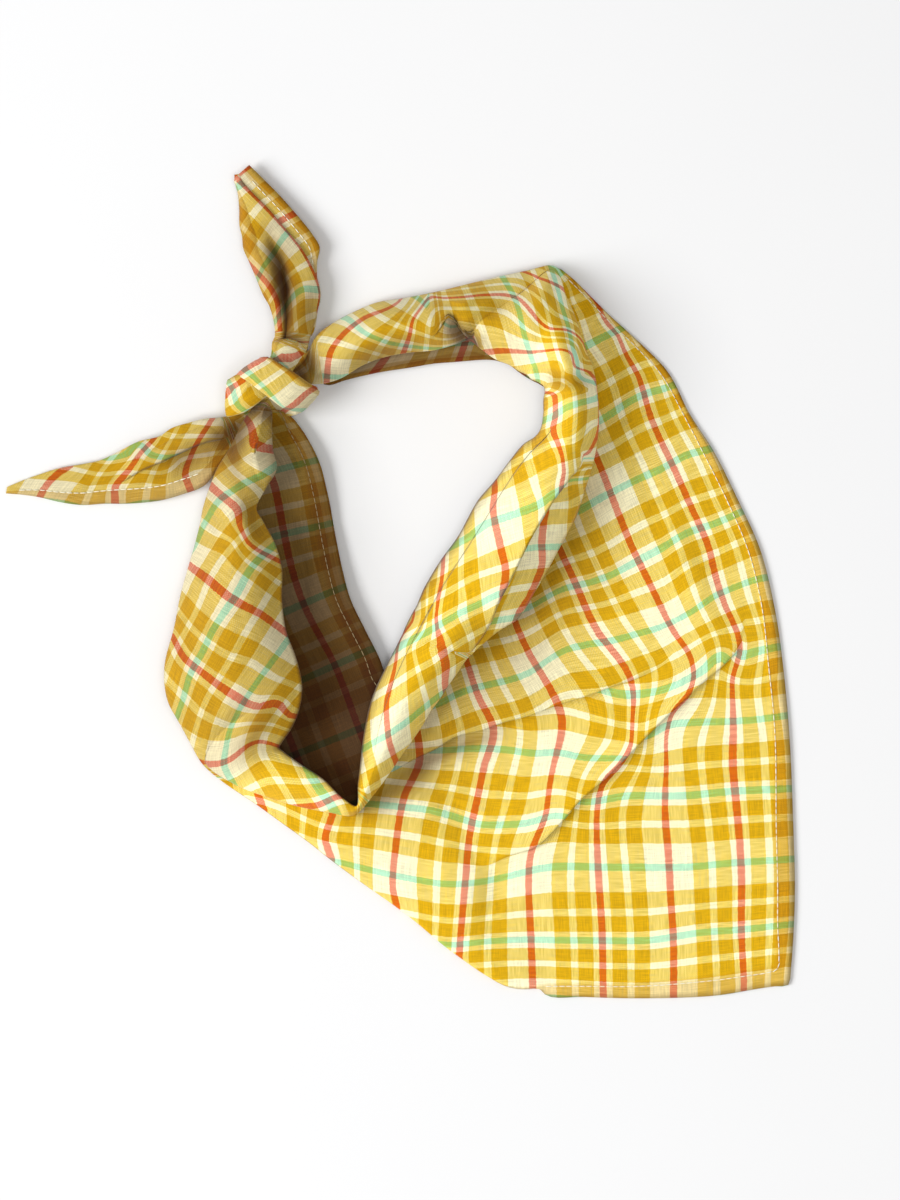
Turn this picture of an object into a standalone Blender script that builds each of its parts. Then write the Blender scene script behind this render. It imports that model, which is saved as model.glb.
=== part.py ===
"""A tied bandana, as one sheet of cotton: left end, flat knot, left arm, bib with its rolled collar, upper arm, end.

The sheet is lofted through cross-sections that follow each other along the neck line, from the tip of the left
end to the tip of the upper end. Every section runs across the cloth from its outer hem to its loose inner hem.
The tables are in millimetres: x to the right, y away from the wearer's left, z up from the table.
"""
import bpy
import math
from mathutils import Vector

MM = 0.001
CLOTH = 1.2                  # thickness of the solid sheet
LAYER = 2.0                  # pitch of one layer of cloth lying on another
HEM = 4.7                    # width of the turned hem
SAMPLES = (1, 2, 2, 2, 2, 2, 2, 2, 1, 3, 3, 3, 2, 2, 1, 2)   # cells between the nodes of a section

LEFT_END = [
    # edge (x, y, z), crest (x, y, z), bundle thickness
    ((-148, 33.5, 2), (-147, 36, 2.2), 0.8),
    ((-134.5, 30.5, 2), (-136, 41, 3), 2.4),
    ((-119, 29, 1.8), (-120.5, 45.5, 4.5), 3),
    ((-104.5, 29.5, 1.8), (-108.5, 51, 6), 3.5),
    ((-89, 31, 2), (-94, 56, 7), 4),
    ((-74, 36.5, 3), (-80.5, 60, 7.5), 5),
    ((-65.5, 45.5, 4.5), (-70, 60.5, 7), 6),
]
KNOT_FROM_LEFT_END = [
    # edge (x, y, z), crest (x, y, z), bundle thickness
    ((-58, 55, 4), (-64.5, 62.5, 4.5), 5),
    ((-54, 65.5, 3.5), (-64.5, 68.5, 3.5), 4.5),
    ((-51.5, 74.5, 8), (-62, 74, 8), 4),
    ((-50, 83.5, 14), (-61, 77, 14), 3),
    ((-42.5, 79, 21.5), (-52, 71.5, 22), 4),
    ((-36, 74.5, 21), (-43.5, 65, 21), 4),
    ((-31, 71.5, 13), (-38.5, 63.5, 13), 3.5),
    ((-37.5, 71, 4), (-43.5, 62.5, 4), 4.5),
    ((-54, 65.5, 5), (-46, 63.5, 6), 6),
]
LEFT_ARM = [
    # hem under it (x, y), edge (x, y, z), crest (x, y, z), crown z, loose hem (x, y, z), spread
    ((-52, 53.5), (-60, 56.5, 5), (-48, 58, 12), 15, (-38.5, 59.5, 4), 1),
    ((-52, 41.5), (-68, 41.5, 5), (-46, 42.5, 16), 20, (-29.5, 43, 4), 1),
    ((-53.5, 26.5), (-73.5, 26.5, 5), (-50.5, 27.5, 17), 23, (-25.5, 28, 4), 1),
    ((-52, 8.5), (-78, 8.5, 5.5), (-44.5, 8.5, 18), 25, (-22, 10, 4.5), 1),
    ((-52, -10.5), (-82, -10.5, 6), (-42, -11, 19), 26, (-16, -11, 4.5), 1),
    ((-52, -27.5), (-85.5, -26, 6.5), (-39, -24.5, 20), 27, (-9.5, -24.5, 4.5), 1),
    ((-53.5, -44), (-87.5, -40.5, 7), (-36.5, -39.5, 20), 27, (-4.5, -34.5, 4), 1),
    ((-52, -55.5), (-82.5, -56, 6), (-40, -54.5, 19), 24, (-2.5, -37.5, 4), 0.7),
    ((-47, -63), (-75, -67.5, 5), (-42.5, -61, 18), 21, (-2, -38, 4), 0.35),
]
BIB_AND_COLLAR = [
    # hem (x, y), outline (x, y, z), lip (x, y, z), tuck depth, crest (x, y, z), crown z, loose hem
    ((-39, -71.5), (-61, -76, 2), (-46.5, -70, 9), 2, (-35.5, -68, 17), 14, (-1, -39.5, 4)),
    ((-26.5, -82), (-48, -84, 1.6), (-29.5, -80.5, 7), 2, (-25, -76, 14), 12, (-1, -40, 4)),
    ((-5.5, -87.5), (-30, -100, 1.2), (-17.5, -87.5, 5), 3, (-17, -83.5, 9), 9, (-0.5, -41, 4)),
    ((9.5, -87.5), (-13, -114, 1), (-10.5, -82, 8), 6, (-16, -76, 10), 14, (0.5, -41.5, 4)),
    ((22.5, -103.5), (5, -127.5, 1), (-4.5, -73.5, 9), 10, (-14.5, -66, 10), 17, (1, -42.5, 4)),
    ((35.5, -120), (21, -139.5, 1), (1, -65, 9), 13, (-12.5, -57.5, 9), 19, (2, -43, 4)),
    ((50, -142.5), (41, -152, 0.8), (7.5, -55.5, 9), 15, (-10, -49.5, 8), 20, (2.5, -44, 4)),
    ((55, -154.5), (55, -154.5, 0.6), (11, -50, 9), 15, (-8.5, -45.5, 8), 20, (4, -42, 3.8)),
    ((71.5, -155.5), (71.5, -155.5, 0.6), (14.5, -44.5, 9), 15, (-7, -41, 8), 20, (6, -40.5, 3.5)),
    ((94, -156), (94, -156, 0.6), (19, -38, 9), 15, (-3.5, -33.5, 7.5), 20, (9, -35, 3)),
    ((120.5, -156), (120.5, -156, 0.6), (24, -31, 9), 15, (-0.5, -27.5, 7), 20, (11.5, -29, 3)),
    ((146.5, -155), (146.5, -155, 0.6), (29.5, -24.5, 9), 15, (3, -20.5, 7), 20, (14, -22.5, 3)),
    ((147, -130.5), (147, -130.5, 0.6), (36, -19.5, 8.5), 15, (7.5, -11, 7), 20, (17.5, -14, 3)),
    ((146.5, -104.5), (146.5, -104.5, 0.6), (44, -13.5, 8.5), 15, (13, -1.5, 7), 20.5, (23.5, -4.5, 3)),
    ((144.5, -63), (144.5, -63, 0.6), (52.5, -1, 8.5), 15, (20.5, 13, 7), 21, (31, 9, 3)),
    ((142, -25.5), (142, -25.5, 0.6), (60, 12, 9), 15, (29.5, 26, 7), 22, (39, 22, 3)),
    ((132.5, 13), (132.5, 13, 0.6), (66.5, 24.5, 9.5), 15, (37.5, 38, 7), 23, (46.5, 34, 3)),
    ((115, 51.5), (115, 51.5, 0.6), (71, 37, 10), 14, (45.5, 48, 7), 24, (54, 44.5, 3)),
    ((98, 87.5), (98, 87.5, 0.8), (74, 53, 10.5), 13, (52.5, 56.5, 7), 25, (58.5, 56, 3)),
    ((84, 102), (84, 102, 1), (74, 68, 11), 12, (54.5, 65.5, 7.5), 26, (58.5, 65, 3)),
    ((72, 112), (72, 112, 1.2), (70.5, 83, 12), 10, (55, 71.5, 8), 26, (56.5, 73, 3)),
    ((64.5, 116.5), (64.5, 116.5, 1.6), (65.5, 101, 12), 8, (52.5, 74.5, 8.5), 25, (52.5, 76, 3)),
    ((59.5, 110.5), (62, 116.5, 2), (61, 112, 8), 3, (46.5, 78, 8.5), 24, (46.5, 78.5, 3)),
]
UPPER_ARM = [
    # hem under it (x, y), edge (x, y, z), crest (x, y, z), crown z, loose hem (x, y, z), spread
    ((52.5, 97), (57.5, 117.5, 4.5), (44, 79.5, 8.5), 24, (44, 80, 3), 0),
    ((47, 95), (48, 116.5, 5), (41, 81.5, 8), 23, (41, 82, 3), 0.2),
    ((37.5, 97), (37.5, 113.5, 5), (34, 84.5, 8), 23, (34, 83, 3), 0.5),
    ((22.5, 97), (22.5, 109.5, 5), (26.5, 89.5, 9), 22, (25.5, 83, 3), 0.8),
    ((11.5, 95.5), (11.5, 107.5, 5), (15, 87, 8), 21, (15, 82, 3), 1),
    ((0, 95), (0, 106, 5), (4, 86.5, 8), 20, (5.5, 80.5, 3), 1),
    ((-11.5, 93), (-11.5, 103, 5), (-7.5, 82.5, 8), 19, (-5.5, 78, 3), 1),
    ((-20.5, 89.5), (-20.5, 98.5, 5), (-18, 76.5, 7), 17.5, (-16.5, 75.5, 3), 1),
    ((-28.5, 86.5), (-29.5, 92, 6), (-26, 74.5, 7), 15.5, (-25, 74.5, 3), 1),
]
KNOT_TO_UPPER_END = [
    # edge (x, y, z), crest (x, y, z), bundle thickness
    ((-35.5, 85, 9), (-32.5, 74, 8), 7),
    ((-43.5, 80, 9.5), (-41, 70, 9.5), 4.5),
    ((-53.5, 77.5, 9.5), (-52, 68, 9.5), 4.5),
    ((-60, 77, 9.5), (-60, 65, 9.5), 4),
    ((-63.5, 76, 12.5), (-65, 64, 12), 2.5),
    ((-58.5, 78.5, 15.5), (-57.5, 66, 15.5), 4),
    ((-52, 81, 15.5), (-48, 71, 15.5), 4),
    ((-48, 85, 12), (-39.5, 77, 12.5), 4.5),
    ((-47.5, 89.5, 9), (-36, 86, 9), 6),
]
UPPER_END = [
    # edge (x, y, z), crest (x, y, z), bundle thickness
    ((-46.5, 94, 7), (-32.5, 92.5, 7), 6),
    ((-49, 103, 6), (-31, 103, 6.5), 5.5),
    ((-53, 113.5, 5), (-29.5, 114, 6), 5),
    ((-58, 124, 4), (-30, 126, 6), 4.5),
    ((-60, 135, 3.5), (-37, 136.5, 6.5), 4),
    ((-61, 144, 3), (-46, 147, 6), 3.5),
    ((-61.5, 151.5, 2.6), (-54, 154.5, 5), 2.5),
    ((-60, 154.5, 2.6), (-56.5, 157, 4), 1.2),
]

# Soft ridges of the bib: where they run (x, y) and how high they stand
LONG_RIDGE = [
    # x, y, height
    (0, -107, 0), (22.5, -105.5, 3), (48.5, -101.5, 6), (64.5, -89, 7.5), (79, -73.5, 7),
    (100.5, -49.5, 5), (118.5, -33.5, 3), (135, -20, 0),
]
SHORT_RIDGE = [
    # x, y, height
    (0, -70, 2), (15, -62, 6), (32.5, -54.5, 7), (49, -50, 7), (68.5, -44, 6), (83, -39, 3), (98, -33, 0),
]


def vec(*numbers):
    return Vector(numbers)


def mix(a, b, share):
    return a + (b - a) * share


def strand_nodes(edge, crest, thickness, travel):
    """A flattened bundle: the sheet goes once round it, with both hems meeting underneath."""
    edge, crest = Vector(edge), Vector(crest)
    side = (crest - edge) / 2
    up = travel.cross(side).normalized() * thickness / 2
    middle = (edge + crest) / 2
    angles = (-112, 180, 168, 156, 144, 132, 120, 108, 98, 88, 70, 50, 0, -30, -52, -74, -98)
    return [middle + side * math.cos(math.radians(a)) + up * math.sin(math.radians(a)) for a in angles]


def under_layers(crest, outer, loose, low):
    """Below the crest the sheet goes out, turns and comes back, ending in its loose hem."""
    back = mix(crest, outer, 0.78)
    sole = mix(crest, outer, 0.35)
    sole.z = max(crest.z - 1.5, low + 2 * LAYER) if crest.z < 12 else (crest.z + low + 2 * LAYER) / 2
    upper = vec(back.x, back.y, low + 2 * LAYER)
    lower = vec(back.x, back.y, low + LAYER)
    return [sole, upper, lower, loose]


def arm_nodes(hem, edge, crest, crown, loose, spread):
    """An arched top layer, with the outer hem tucked flat under it and two layers inside.

    The spread says how much of the arch the bib's own nodes take: little where the bib begins.
    """
    edge, crest = Vector(edge), Vector(crest)
    bunched = (0.01, 0.02, 0.03, 0.04, 0.05, 0.06, 0.07, 0.09, 0.13, 0.55)
    even = (0.07, 0.15, 0.24, 0.33, 0.42, 0.51, 0.60, 0.70, 0.80, 0.91)
    arch = []
    for share in [near + (far - near) * spread for near, far in zip(bunched, even)]:
        point = mix(edge, crest, share)
        point.z += 4 * share * (1 - share) * (crown - (edge.z + crest.z) / 2)
        arch.append(point)
    outline = mix(edge, crest, -0.02)
    return [vec(*hem, CLOTH / 2), outline, *arch, crest, *under_layers(crest, edge, Vector(loose), LAYER * 0.9)]


def crossing(start, end, ridge):
    """Where a section meets a ridge line: the share of its length, and the ridge's height there."""
    run = (end - start).to_2d()
    for (ax, ay, ah), (bx, by, bh) in zip(ridge, ridge[1:]):
        step = vec(bx - ax, by - ay)
        gap = vec(ax - start.x, ay - start.y)
        spread = run.x * step.y - run.y * step.x
        if abs(spread) < 1e-9:
            continue
        share = (gap.x * step.y - gap.y * step.x) / spread
        along = (gap.x * run.y - gap.y * run.x) / spread
        if 0 <= along <= 1 and 0 < share < 1:
            return share, ah + (bh - ah) * along
    return None, 0.0


def bib_nodes(hem, outline, lip, tuck, crest, crown, loose):
    """The flat bib, its tuck under the collar, the collar's roll and the layers inside that."""
    hem, outline, lip, crest = vec(*hem, CLOTH / 2), Vector(outline), Vector(lip), Vector(crest)
    folded = (hem - outline).length > HEM
    level = CLOTH / 2 + (LAYER if folded else 0)
    roll = (crest - lip).to_2d()
    inner = lip.to_2d() + roll.normalized() * min(tuck, roll.length * 0.6)
    tuck_low = vec(*inner, level)
    tuck_high = vec(*inner, level + LAYER)
    if not folded:
        outline = mix(hem, tuck_low, HEM / (tuck_low - hem).length)
    outline.z = max(outline.z, level) if folded else level
    start, end = outline, tuck_low
    places = []
    for ridge, usual in ((LONG_RIDGE, 0.36), (SHORT_RIDGE, 0.72)):
        share, height = crossing(start, end, ridge)
        places.append((usual if share is None else share, height))
    (first, first_height), (second, second_height) = places
    first = min(max(first, 0.12), 0.7)
    second = min(max(second, first + 0.15), 0.9)
    reach = min(9.0 / (end - start).length, 0.45 * (second - first), 0.08)
    bib = []
    for place, height in ((first, first_height), (second, second_height)):
        for offset, share_of_height in ((-reach, 0), (0, 1), (reach, 0)):
            point = mix(start, end, min(max(place + offset, 0.04), 0.97))
            point.z = level + height * share_of_height
            bib.append(point)
    top = mix(lip, crest, 0.5)
    top.z = crown
    low = tuck_high.z + 0.4 * (lip.z - tuck_high.z)
    return [hem, outline, *bib, tuck_low, tuck_high, lip, top, crest,
            *under_layers(crest, lip, Vector(loose), low)]


def section_rows():
    """All cross-sections in order along the neck line, each as its list of nodes."""
    named = [(strand_nodes, row) for row in LEFT_END + KNOT_FROM_LEFT_END]
    named += [(arm_nodes, row) for row in LEFT_ARM]
    named += [(bib_nodes, row) for row in BIB_AND_COLLAR]
    named += [(arm_nodes, row) for row in UPPER_ARM]
    named += [(strand_nodes, row) for row in KNOT_TO_UPPER_END + UPPER_END]
    sides = {strand_nodes: (0, 1), arm_nodes: (1, 2), bib_nodes: (2, 4)}
    middles = []
    for maker, row in named:
        first, second = sides[maker]
        middles.append((Vector(row[first]) + Vector(row[second])) / 2)
    sections = []
    for number, (maker, row) in enumerate(named):
        if maker is strand_nodes:
            before = middles[max(number - 1, 0)]
            after = middles[min(number + 1, len(named) - 1)]
            row = (*row, (after - before).normalized())
        sections.append(maker(*row))
    return sections


def curve_point(p, share):
    """A point between p[1] and p[2] on the centripetal Catmull-Rom curve through four points."""
    knots = [0.0]
    for a, b in zip(p, p[1:]):
        knots.append(knots[-1] + max((b - a).length, 0.05) ** 0.5)
    t = knots[1] + (knots[2] - knots[1]) * share
    first = [mix(p[i], p[i + 1], (t - knots[i]) / (knots[i + 1] - knots[i])) for i in range(3)]
    second = [mix(first[i], first[i + 1], (t - knots[i]) / (knots[i + 2] - knots[i])) for i in range(2)]
    return mix(second[0], second[1], (t - knots[1]) / (knots[2] - knots[1]))


def section_points(nodes):
    padded = [nodes[0] * 2 - nodes[1], *nodes, nodes[-1] * 2 - nodes[-2]]
    points = []
    for index, count in enumerate(SAMPLES):
        points += [curve_point(padded[index:index + 4], step / count) for step in range(count)]
    points.append(nodes[-1])
    for point in points:
        point.z = max(point.z, CLOTH / 2)
    return points


def cotton():
    material = bpy.data.materials.new("cotton")
    material.use_nodes = True
    shader = material.node_tree.nodes["Principled BSDF"]
    shader.inputs["Base Color"].default_value = (0.66, 0.43, 0.08, 1)
    shader.inputs["Roughness"].default_value = 0.85
    shader.inputs["Metallic"].default_value = 0.0
    material.diffuse_color = (0.66, 0.43, 0.08, 1)
    return material


def bandana():
    grid = [section_points(nodes) for nodes in section_rows()]
    points = [point for row in grid for point in row]
    low = [min(point[axis] for point in points) for axis in range(3)]
    high = [max(point[axis] for point in points) for axis in range(3)]
    middle = vec((low[0] + high[0]) / 2, (low[1] + high[1]) / 2, 0)
    wide = len(grid[0])
    faces = []
    for row in range(len(grid) - 1):
        for column in range(wide - 1):
            corner = row * wide + column
            faces.append((corner, corner + wide, corner + wide + 1, corner + 1))
    mesh = bpy.data.meshes.new("bandana")
    mesh.from_pydata([(point - middle) * MM for point in points], [], faces)
    mesh.materials.append(cotton())
    mesh.shade_smooth()
    cloth = bpy.data.objects.new("bandana", mesh)
    shell = cloth.modifiers.new("cloth thickness", "SOLIDIFY")
    shell.thickness = CLOTH * MM
    shell.offset = 0
    return cloth


for old in list(bpy.data.objects):
    bpy.data.objects.remove(old, do_unlink=True)
parts = bpy.data.collections.new("Bandana")
bpy.context.scene.collection.children.link(parts)
parts.objects.link(bandana())
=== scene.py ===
import math

import bpy
import numpy as np
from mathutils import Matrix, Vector


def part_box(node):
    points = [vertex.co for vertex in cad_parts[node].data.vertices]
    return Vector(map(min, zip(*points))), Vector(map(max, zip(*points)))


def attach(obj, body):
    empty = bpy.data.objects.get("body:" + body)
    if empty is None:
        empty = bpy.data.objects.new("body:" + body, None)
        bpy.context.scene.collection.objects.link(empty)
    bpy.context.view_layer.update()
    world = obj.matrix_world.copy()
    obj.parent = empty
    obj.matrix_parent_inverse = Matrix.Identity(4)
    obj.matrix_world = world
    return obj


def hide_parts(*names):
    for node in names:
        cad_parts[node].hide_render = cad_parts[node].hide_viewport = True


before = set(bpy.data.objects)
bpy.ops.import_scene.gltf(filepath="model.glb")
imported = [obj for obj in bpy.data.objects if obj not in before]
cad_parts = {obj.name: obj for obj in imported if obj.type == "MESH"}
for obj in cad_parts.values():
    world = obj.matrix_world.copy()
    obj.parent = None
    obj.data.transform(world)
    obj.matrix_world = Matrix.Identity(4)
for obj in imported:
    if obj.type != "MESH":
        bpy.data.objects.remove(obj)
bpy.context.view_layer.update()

# ---------------------------------------------------------------------------------------------------------------
# The cloth: one square of light plain-weave cotton with turned hems, folded corner to corner, rolled towards its
# corner and tied. It is lofted through cross-sections that follow each other along the neck line, each from the
# outer hem to the loose inner hem.
# ---------------------------------------------------------------------------------------------------------------
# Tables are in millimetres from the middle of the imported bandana, z from the table top
MM = 0.001
SQUARE = 530.0            # side of the cut square
REPEAT = 51.9             # repeat of the check
HEM = 5.4                 # turned hem, to its stitch line
CLOTH = 0.42              # thickness of the cotton

# Cells between the places across the cloth, which are: hem, stitch line, long crease (foot, tuck, ridge, back),
# short crease (foot, tuck, ridge, back), under the lip (low, high), lip, band edge (three), middle, inner pleat
# (three), crest, then the layers under the roll (three), the inner stitch line and the inner hem
CELLS = (2, 16, 1, 1, 3, 14, 1, 1, 3, 10, 1, 2, 4, 1, 1, 4, 5, 1, 1, 3, 2, 2, 1, 6, 2)
STITCH, LONG, SHORT, LIP_LOW, LIP, BAND, PLEAT, CREST, LOOSE = 1, 2, 6, 10, 12, 13, 17, 20, 25

LEFT_END = [
    # lower hem (x, y, z), upper fold (x, y, z), thickness of the bundle, cells to the next
    ((-147.5, 33, 1.2), (-147, 35, 1.4), 0.8, 5),
    ((-141.5, 32.5, 1.2), (-141, 37.5, 1.6), 1.6, 5),
    ((-135, 31.5, 1.2), (-134, 40, 2), 2.2, 5),
    ((-126.5, 29.5, 1.2), (-127.5, 42, 2.4), 2.8, 5),
    ((-118.5, 28.5, 1.3), (-119, 43.5, 2.8), 3, 5),
    ((-111, 29, 1.4), (-112, 45, 3.2), 3.2, 5),
    ((-103.5, 29, 1.5), (-105.5, 48, 3.8), 3.6, 5),
    ((-95.5, 29.5, 1.7), (-97.5, 52, 4.6), 4, 5),
    ((-88.5, 30.5, 2), (-89.5, 54, 5.2), 4.5, 5),
    ((-81.5, 32.5, 2.4), (-85, 57, 6), 5, 5),
    ((-73.5, 35.5, 3), (-78.5, 59, 6.6), 5, 5),
    ((-69, 40.5, 3.6), (-72.5, 60.5, 6.8), 6, 5),
    ((-64, 47.5, 4.4), (-67, 61, 6.4), 6, 5),
]
KNOT_FROM_LEFT_END = [
    # one side (x, y, z), other side (x, y, z), thickness of the bundle, cells to the next
    ((-57.5, 54.5, 4), (-64, 62, 4.5), 5, 5),
    ((-53.5, 65, 3.5), (-64, 68, 3.5), 4.5, 5),
    ((-51, 74, 8), (-61, 73, 8), 4, 5),
    ((-49.5, 83, 14), (-60, 76.5, 14), 3, 5),
    ((-40.5, 78.5, 20.5), (-51, 70.5, 21), 3.5, 5),
    ((-33.5, 73.5, 19.5), (-43, 64.5, 19.5), 3.5, 5),
    ((-30, 71.5, 13), (-38, 63, 13), 3.5, 5),
    ((-37, 70.5, 4), (-43, 62, 4), 4.5, 4),
    ((-51.5, 66.5, 5), (-48, 65, 6), 5, 4),
]
LEFT_ARM = [
    # outline (x, y, z), crest (x, y, z), crown z, loose hem (x, y, z), spread, cells to the next
    ((-55.5, 63, 6), (-47.5, 63, 11), 13, (-41.5, 62.5, 5), 1, 4),
    ((-59, 58.5, 5.5), (-47.5, 57, 12), 15, (-36.5, 57, 4), 1, 5),
    ((-64, 48.5, 5), (-47, 48.5, 13), 18, (-31.5, 48.5, 4), 1, 5),
    ((-67.5, 42.5, 5), (-45.5, 42, 15), 20, (-29, 42.5, 4), 1, 5),
    ((-71, 33.5, 5), (-49.5, 34.5, 16), 21, (-27, 34.5, 4), 1, 5),
    ((-73, 27, 5), (-53, 27, 16.5), 22, (-25.5, 27.5, 4), 1, 4),
    ((-74, 21.5, 5.3), (-50.5, 22, 17), 23, (-24.5, 21.5, 4), 1, 5),
    ((-76, 13.5, 5.5), (-46, 13.5, 17.5), 24, (-23, 13.5, 4.5), 1, 5),
    ((-78.5, 5, 5.5), (-43.5, 4, 18), 25, (-21, 4, 4.5), 1, 5),
    ((-81.5, -6, 6), (-43.5, -7, 18.5), 25.5, (-18, -7, 4.5), 1, 5),
    ((-84, -18.5, 6.3), (-42, -18.5, 19), 26, (-12.5, -18.5, 4.5), 1, 5),
    ((-87, -29.5, 6.5), (-38, -29.5, 19.5), 27, (-7, -29.5, 4.5), 1, 5),
    ((-87.5, -37, 7), (-36, -38.5, 19.5), 27, (-4.5, -36.5, 4), 1, 5),
    ((-86, -45.5, 7), (-36.5, -46, 19), 26, (-3, -38, 4), 0.95, 5),
    ((-82, -53, 6), (-39.5, -54.5, 18), 23, (-2, -38.5, 4), 0.6, 5),
    ((-78, -60.5, 5), (-43.5, -60.5, 17), 20.5, (-2, -38.5, 4), 0.3, 5),
    ((-73.5, -68.5, 4), (-44.5, -62.5, 16), 18.5, (-1.5, -39, 4), 0, 5),
]
BIB_AND_COLLAR = [
    # hem (x, y), stitch line or fold (x, y), lip (x, y, z), tuck, crest (x, y, z), crown z, loose hem (x, y, z),
    # cells to the next
    ((-42.5, -70), (-66.5, -75), (-62, -76, 6), 1, (-43, -64, 15.5), 17, (-1, -39.5, 4), 5),
    ((-35, -75.5), (-55, -82.5), (-52.5, -80, 6), 1.5, (-37, -68.5, 15), 16, (-0.5, -40, 4), 5),
    ((-26, -82.5), (-42.5, -91.5), (-38, -84.5, 6), 2, (-28, -74.5, 14), 14, (-0.5, -40, 4), 5),
    ((-17.5, -87), (-33.5, -98), (-25, -87, 6), 2, (-21.5, -81, 12.5), 12, (0, -40.5, 4), 5),
    ((-5, -88), (-24, -105.5), (-17, -88, 5), 3, (-15.5, -84.5, 10), 9.5, (0, -41.5, 4), 6),
    ((10, -88), (-12.5, -114), (-10, -81, 8), 6, (-15, -76.5, 10), 14, (1, -42, 4), 7),
    ((23, -104), (5.5, -127), (-4, -73, 9), 10, (-14, -68, 10), 17, (1.5, -43, 4), 7),
    ((36, -120.5), (21.5, -140), (1.5, -65, 9), 13, (-13, -59, 9), 19, (2.5, -43.5, 4), 8),
    ((50.5, -143.5), (42, -152.5), (8.5, -55, 9), 15, (-11, -48.5, 8), 20, (3, -44.5, 4), 5),
    ((55, -155.5), (56.5, -152.5), (12, -49, 9), 15, (-9.5, -43.5, 8), 20, (4.5, -42.5, 3.8), 5),
    ((70, -156.5), (69, -152.5), (15, -45, 9), 15, (-7.5, -38.5, 8), 20, (6.5, -41, 3.5), 9),
    ((92.5, -157), (90.5, -152.5), (18.5, -39.5, 9), 15, (-4.5, -32.5, 7.5), 20, (9.5, -35.5, 3), 9),
    ((119, -156), (116.5, -150.5), (22.5, -34, 9), 15, (-1.5, -26.5, 7), 20, (12, -29.5, 3), 6),
    ((134.5, -153.5), (131.5, -148.5), (25.5, -29.5, 9), 15, (1.5, -20.5, 7), 20, (13, -26.5, 3), 3),
    ((141.5, -152.5), (138, -147.5), (27.5, -27.5, 9), 15, (3, -17, 7), 20, (14, -24.5, 3), 2),
    ((146.5, -152), (142.5, -146), (30, -25, 9), 15, (5, -13, 7), 20, (15.5, -21.5, 3), 2),
    ((147.5, -146), (143, -141.5), (32.5, -23, 8.7), 15, (7, -9.5, 7), 20, (17, -17.5, 3), 4),
    ((148.5, -132), (142.5, -129), (36, -20, 8.5), 15, (9.5, -3.5, 7), 20, (19, -13, 3), 5),
    ((149, -116), (142.5, -114), (40.5, -17, 8.5), 15, (12, 1, 7), 20, (21.5, -8, 3), 7),
    ((148.5, -95.5), (142, -93.5), (44.5, -14.5, 8.5), 15, (16, 7.5, 7), 20.5, (25.5, -2.5, 3), 11),
    ((147, -59.5), (141.5, -58), (51.5, -3.5, 8.5), 15, (22.5, 16.5, 7), 21, (32.5, 9.5, 3), 9),
    ((144.5, -31.5), (139, -31), (57.5, 7, 9), 15, (30, 30, 7), 22, (39.5, 21.5, 3), 7),
    ((141.5, -11), (136.5, -9.5), (62, 15.5, 9), 15, (36, 37, 7), 22.5, (44, 29, 3), 8),
    ((136, 11.5), (131.5, 11), (66.5, 24, 9.5), 15, (42, 45, 7), 23, (48.5, 36, 3), 8),
    ((127.5, 30.5), (123.5, 30), (69.5, 33, 9.7), 14.5, (47, 51, 7), 23.5, (53, 42, 3), 8),
    ((118.5, 48.5), (114.5, 48), (72, 41, 10), 14, (51.5, 54, 7), 24, (56.5, 45.5, 3), 7),
    ((109.5, 62.5), (107.5, 61.5), (74, 49.5, 10.3), 13.5, (53.5, 57, 7), 24.5, (58.5, 51, 3), 7),
    ((101.5, 78), (99, 77), (75, 59, 10.5), 13, (54.5, 63, 7), 25, (59, 57, 3), 7),
    ((90.5, 89.5), (89, 88), (74.5, 69, 11), 12, (54.5, 67.5, 7.3), 26, (59, 63, 3), 6),
    ((79.5, 99.5), (78.5, 98), (73, 78.5, 11.5), 11, (55, 71, 7.7), 26, (58, 68, 3), 5),
    ((72, 107), (71, 106), (70, 86.5, 12), 10, (54.5, 73, 8), 26, (57, 71.5, 3), 5),
    ((66.5, 112.5), (65.5, 111.5), (66, 99, 12), 8, (52.5, 74.5, 8.3), 25.5, (53.5, 74, 3), 5),
    ((63, 115.5), (62.5, 114.5), (62.5, 107, 10), 5, (50, 75.5, 8.5), 24.5, (50.5, 75.5, 3), 4),
    ((60.5, 117), (60.5, 116.5), (60.5, 113.5, 8), 2.5, (48.5, 77, 8.5), 24, (48.5, 76.5, 3), 4),
]
UPPER_ARM = [
    # outline (x, y, z), crest (x, y, z), crown z, loose hem (x, y, z), spread, cells to the next
    ((57, 118, 4.7), (45.5, 78.5, 8.5), 24, (45, 79, 3), 0, 5),
    ((48.5, 116, 5), (41.5, 81, 8), 23.5, (42, 81.5, 3), 0.25, 5),
    ((39, 114, 5), (36.5, 83, 8), 23, (37, 83, 3), 0.5, 5),
    ((30.5, 112, 5), (31.5, 86.5, 8), 22.5, (32, 83, 3), 0.8, 5),
    ((22.5, 110, 5), (26.5, 90, 8.5), 22, (26, 82.5, 3), 1, 4),
    ((16.5, 108.5, 5), (21, 88.5, 8.5), 21.5, (20, 82, 3), 1, 5),
    ((9.5, 107, 5), (13.5, 86.5, 8), 21, (13.5, 81.5, 3), 1, 5),
    ((1.5, 105.5, 5), (3.5, 85.5, 8), 20, (4.5, 80, 3), 1, 5),
    ((-8, 104, 5), (-6.5, 83.5, 8), 19.5, (-5.5, 78.5, 3), 1, 5),
    ((-16.5, 100.5, 5), (-14, 80.5, 7.5), 18.5, (-13, 77, 3), 1, 5),
    ((-24, 96.5, 5.5), (-21.5, 76, 7), 17, (-20, 75.5, 3), 1, 5),
    ((-30.5, 91.5, 6), (-28, 74, 7), 15.5, (-27.5, 74, 3), 1, 5),
]
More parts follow.
